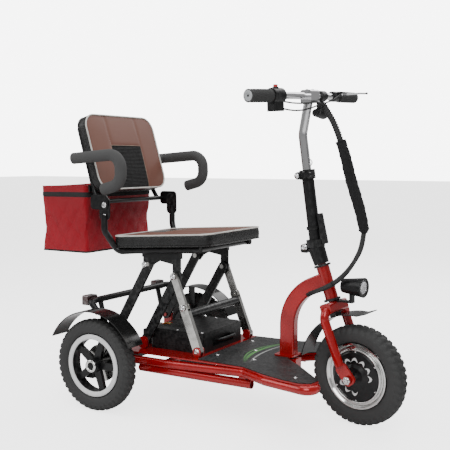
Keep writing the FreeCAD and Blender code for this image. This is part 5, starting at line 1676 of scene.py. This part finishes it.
# ---------------------------------------------------------------- bar, stem and fork fittings
@dataclass
class Controls:
    """The grips' ends, the clamp's hardware and the switches on the bar."""

    half: float = 285.0

    def bar(self, y: float) -> Vector:
        """The bar's centre line at a place across, in the row frame."""
        sweep = max(0.0, abs(y) - 96) * math.tan(math.radians(5))
        return steered(mm(634 - sweep, y, 1025 - 0.1 * sweep))

    def grip_end(self, side: int) -> None:
        """Makes one grip's flanged end, with a cap let into it.

        Args:
            side: -1 for the right and 1 for the left.
        """
        way = (self.bar(side * self.half) - self.bar(side * 96)).normalized()
        end = self.bar(side * self.half)
        body = "throttle" if side < 0 else "handlebar"
        reach = 0.0044 if side < 0 else 0.006
        radius = 0.0195 if side < 0 else 0.018
        rim = [(0.0, 0.0), (radius - 0.001, -0.001), (radius, 0.0006), (radius + 0.0004, 0.0026),
               (radius - 0.002, 0.0042),
               (0.0125, 0.0042), (0.0122, 0.0026), (0.0, 0.0026)]
        fit(turned(f"grip_flange_{side + 1}", rim, aim(end + way * reach, way)), body, Look.GRIP)
        cap = [(0.0, 0.0014), (0.0035, 0.0016), (0.004, 0.0028), (0.0135, 0.0034), (0.0162, 0.0024),
               (0.0164, 0.0),
               (0.0, 0.0)]
        fit(turned(f"grip_cap_{side + 1}", cap, aim(end + way * (reach + 0.0018), way)), body, Look.GREY)
        dot = [(0.0, 0.0012), (0.0034, 0.001), (0.0036, 0.0), (0.0, 0.0)]
        fit(turned(f"grip_dot_{side + 1}", dot, aim(end + way * (reach + 0.0034), way), 20), body,
            Look.PLASTIC)

    def ribs(self, side: int) -> None:
        """Makes the raised rings along one grip.

        Args:
            side: -1 for the right and 1 for the left.
        """
        way = (self.bar(side * self.half) - self.bar(side * 96)).normalized()
        body, radius = ("throttle", 0.0186) if side < 0 else ("handlebar", 0.0171)
        count, first, pitch = (14, 0.006, 0.0052) if side < 0 else (18, 0.008, 0.0052)
        for i in range(count):
            spot = self.bar(side * self.half) - way * (first + pitch * i)
            ring = [(radius, -0.0016), (radius + 0.0009, -0.0012), (radius + 0.0012, 0.0),
                    (radius + 0.0009, 0.0012),
                    (radius, 0.0016), (radius, -0.0016)]
            fit(turned(f"grip_rib_{side + 1}_{i:02d}", ring, aim(spot, way), 40), body, Look.GRIP)

    def build(self) -> None:
        """Makes the pieces on the bar."""
        for side in (-1, 1):
            self.grip_end(side)
            self.ribs(side)
        for number, (y, z) in enumerate(((-16, 1045), (16, 1045))):
            spot = steered(mm(634, y, z - 1.4))
            Bolt(0.0045, 0.003).build(f"bar_clamp_bolt_{number}", "handlebar", spot, (0, 0, 1))
        button = joint_of("power_button_press")
        low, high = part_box("power_button")
        middle = (low + high) / 2
        collar = [(0.0076, -0.003), (0.0102, -0.003), (0.0104, 0.0), (0.0096, 0.0018), (0.0078, 0.0018),
                  (0.0076, -0.003)]
        foot = Vector((middle.x, middle.y, high.z - 0.009))
        fit(turned("button_collar", collar, aim(foot, -Vector(button["axis"]))), "handlebar", Look.PLASTIC)
        crown = [(0.0, 0.0012), (0.004, 0.001), (0.0062, 0.0), (0.0, -0.0002)]
        fit(turned("button_crown", crown, aim((middle.x, middle.y, high.z), (0, 0, 1)), 28), "power_button",
            Look.RED_BUTTON)
        tip = [(0.0, -0.008), (0.0033, -0.0078), (0.0038, -0.006), (0.0039, 0.002), (0.0026, 0.0035),
               (0.0, 0.004)]
        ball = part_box("brake_lever")
        end = steered(mm(634 + 11 + 38 + 8 - 9.4, 144.5 + 126, 1035))
        end.z = ball[1].z - 0.0033
        fit(turned("lever_tip", tip, aim(end, (-0.3, 1, 0.02)), 24), "brake_lever", Look.PLASTIC)
        LOG.info("bar fittings built")


@dataclass
class StemFittings:
    """The hardware of the fold joint, the post clamp and the lamp."""

    def build(self) -> None:
        """Makes the pieces on the stem and the fork."""
        fold = joint_of("stem_fold")
        axis, centre = Vector(fold["axis"]), Vector(fold["pos_m"])
        for side in (-1, 1):
            Bolt(0.008, 0.005).build(f"fold_bolt_{side + 1}", "steering", centre + axis * side * 0.0215,
                                     axis * side)
        swing = joint_of("clamp_lever_swing")
        axis, spot = Vector(swing["axis"]), Vector(swing["pos_m"])
        nut = [(0.0, 0.009), (0.0035, 0.009), (0.0046, 0.006), (0.0085, 0.0055), (0.0095, 0.004),
               (0.0095, 0.0),
               (0.0, 0.0)]
        fit(turned("clamp_nut", nut, aim(spot - axis * 0.0062, -axis), 6), "clamp_lever", Look.CHROME)
        up = Vector(joint_of("bar_height")["axis"])
        hook = steered(mm(610, 0, 806)) + up * 0.012
        ring = [hook + Vector((0.016 + 0.011 * math.cos(a), 0, 0.011 * math.sin(a)))
                for a in [i * math.pi / 6 for i in range(-5, 7)]]
        fit(strand("post_hook", ring, 0.0019), "stem", Look.CHROME)
        self.lamp()
        self.fork_bolts()
        LOG.info("stem and fork fittings built")

    def lamp(self) -> None:
        """Makes the lamp's bowl, its clear dome and its bezel."""
        way = steered(Vector((1, 0, 0))) - steered(Vector((0, 0, 0)))
        low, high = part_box("headlamp_lens")
        centre = (low + high) / 2
        face = Vector((centre.x, centre.y, centre.z))
        bowl = [(0.0, -0.0065), (0.006, -0.0065), (0.010, -0.005), (0.017, 0.0), (0.0225, 0.0045),
                (0.0245, 0.0062),
                (0.0245, 0.0045), (0.017, -0.002), (0.0, -0.008)]
        fit(turned("lamp_bowl", bowl, aim(face, way), 20), "steering", Look.CHROME)
        bulb = [(0.0, 0.003), (0.0032, 0.0022), (0.0045, -0.001), (0.0045, -0.006), (0.0, -0.006)]
        fit(turned("lamp_bulb", bulb, aim(face, way), 24), "steering", Look.LED)
        dome = [(0.0, 0.0088), (0.008, 0.0084), (0.016, 0.0074), (0.0235, 0.0058), (0.0235, 0.0048),
                (0.016, 0.0064),
                (0.008, 0.0074), (0.0, 0.0078)]
        fit(turned("lamp_glass", dome, aim(face, way)), "steering", Look.LENS, "headlamp_lens")
        bezel = [(0.0238, 0.001), (0.0238, 0.0075), (0.0262, 0.0088), (0.0288, 0.0075), (0.0292, 0.0),
                 (0.0292, -0.006),
                 (0.0276, -0.006), (0.0276, 0.001), (0.0238, 0.001)]
        fit(turned("lamp_bezel", bezel, aim(face, way)), "steering", Look.GLOSS)

    def fork_bolts(self) -> None:
        """Makes the acorn nuts on the front axle."""
        spin = joint_of("front_wheel_spin")
        centre, axle = Vector(spin["pos_m"]), Vector(spin["axis"])
        nut = [(0.0, 0.0145), (0.004, 0.0135), (0.0066, 0.0095), (0.0076, 0.008), (0.0108, 0.0075),
               (0.0112, 0.006),
               (0.0112, 0.0), (0.0, 0.0)]
        for side in (-1, 1):
            name = f"axle_nut_{side + 1}"
            reach = 0.0705 if side < 0 else 0.0695
            fit(turned(name, nut, aim(centre + axle * side * reach, axle * side), 6), "steering", Look.CHROME)


# ---------------------------------------------------------------- frame fittings
@dataclass
class Linkage:
    """The bolts of the seat linkage."""

    outside: float = 0.1775
    ear: float = 0.206
    knee: float = 0.178
    head: float = 0.1765

    def build(self) -> None:
        """Makes a bolt at each pivot, on both sides."""
        spots = {
            "front_foot": ("frame", Vector(joint_of("seat_fold")["pos_m"])),
            "rear_foot": ("frame", Vector(joint_of("rear_link_swing")["pos_m"])),
            "front_head": ("seat_carrier", Vector(joint_of("seat_level")["pos_m"])),
            "strut_foot": ("frame", Vector(joint_of("strut_swing")["pos_m"])),
            "knee": ("strut_lower", Vector(joint_of("strut_knee")["pos_m"])),
            "back": ("seat_carrier", Vector(joint_of("backrest_fold")["pos_m"])),
        }
        rear_head = spots["rear_foot"][1] + spots["front_head"][1] - spots["front_foot"][1]
        spots["rear_head"] = ("seat_carrier", rear_head)
        reaches = {"back": self.ear, "knee": self.knee, "front_head": self.head, "rear_head": self.head}
        for name, (body, spot) in spots.items():
            reach = reaches.get(name, self.outside)
            for side, sign in SIDES:
                centre = Vector((spot.x, sign * reach, spot.z))
                Bolt(0.0068, 0.0045).build(f"{name}_bolt_{side}", body, centre, (0, sign, 0))
        for side, sign in SIDES:
            low = Vector((spots["back"][1].x - 0.002, sign * 0.2015, spots["back"][1].z - 0.036))
            Bolt(0.0042, 0.0025).build(f"ear_rivet_{side}", "seat_carrier", low, (0, sign, 0))
        LOG.info("linkage bolts built")


@dataclass
class BatteryFittings:
    """The carrying handle, screws, vents and connector of the battery pack."""

    def build(self) -> None:
        """Makes the pieces on the battery and the controller."""
        front = 304.0
        handle = [mm(front - 1, -52, 222), mm(front + 14, -52, 224), mm(front + 19, -46, 224),
                  mm(front + 20, -30, 224),
                  mm(front + 20, 30, 224), mm(front + 19, 46, 224), mm(front + 14, 52, 224),
                  mm(front - 1, 52, 222)]
        fit(strand("battery_handle", handle, 0.0052), "frame", Look.PLASTIC)
        for number, z in enumerate((196, 204, 212, 234)):
            for side, sign in SIDES:
                low, high = sorted((sign * 131.6, sign * 130))
                groove = box_piece(f"case_rib_{number}_{side}", mm(104, low, z), mm(292, high, z + 2.6),
                                   0.0005)
                fit(groove, "frame", Look.PLASTIC)
        for number in range(9):
            x = 116 + 9 * number
            slat = box_piece(f"lid_slat_{number}", mm(x, -84, 255.6), mm(x + 3.4, -24, 257.2), 0.0005)
            fit(slat, "frame", Look.PLASTIC)
        for number, (x,
                     y) in enumerate(((102, -120), (102, 120), (294, -120), (294, 120), (198, -122),
                                      (198, 122))):
            Bolt(0.0038, 0.0022).build(f"lid_screw_{number}", "frame", mm(x, y, 256), (0, 0, 1))
        box = box_piece("connector_block", mm(42, -74, 239), mm(80, -42, 256), 0.0018)
        fit(box, "frame", Look.GREY)
        for number, look in enumerate((Look.ORANGE, Look.GREEN, Look.RED_BUTTON, Look.CABLE)):
            y = -66 + 7 * number
            wire = [mm(78, y, 249), mm(90, y - 1, 252), mm(100, y + 3, 259), mm(112, y + 7, 260),
                    mm(121, y + 12, 257)]
            fit(strand(f"pack_wire_{number}", wire, 0.0019), "frame", look)
        LOG.info("battery fittings built")


@dataclass
class DeckFittings:
    """The screws of the foot mat, the rear brakes' cables and the tail lamps' facets."""

    def build(self) -> None:
        """Makes the pieces on the deck and the rails."""
        for number, (x, y) in enumerate(((352, -118), (352, 118), (430, 0), (486, -112), (486, 112),
                                         (694, -238), (694, 238))):
            Bolt(0.005, 0.0022).build(f"deck_screw_{number}", "frame", mm(x, y, 189.6), (0, 0, 1))
        for side, sign in SIDES:
            cable = [mm(118, sign * 272, 214), mm(104, sign * 258, 198), mm(76, sign * 236, 190),
                     mm(44, sign * 214, 184),
                     mm(14, sign * 196, 176)]
            run = strand(f"brake_cable_{side}", cable, 0.0022)
            fit(run, "frame", Look.CABLE)
            line = route_line(cable)
        for side, sign in SIDES:
            for number, z in enumerate((338, 348)):
                glass = box_piece(f"lamp_facet_{number}_{side}", mm(-130.4, sign * 212 - 10, z - 3.6),
                                  mm(-128.6, sign * 212 + 10, z + 3.6), 0.0006)
                fit(glass, "frame", Look.TAIL)
        LOG.info("deck fittings built")


def main() -> None:
    """Builds the whole scene, sub-assembly by sub-assembly."""
    studio = Studio()
    studio.camera()
    Harness().build()
    paint_nodes()
    for side, sign in SIDES:
        RearWheel(side, sign).build()
    FrontWheel().build()
    Controls().build()
    StemFittings().build()
    Linkage().build()
    BatteryFittings().build()
    DeckFittings().build()
    seat_cushion().build()
    back_cushion().build()
    Basket().build()
    studio.build()


if __name__ == "__main__":
    main()
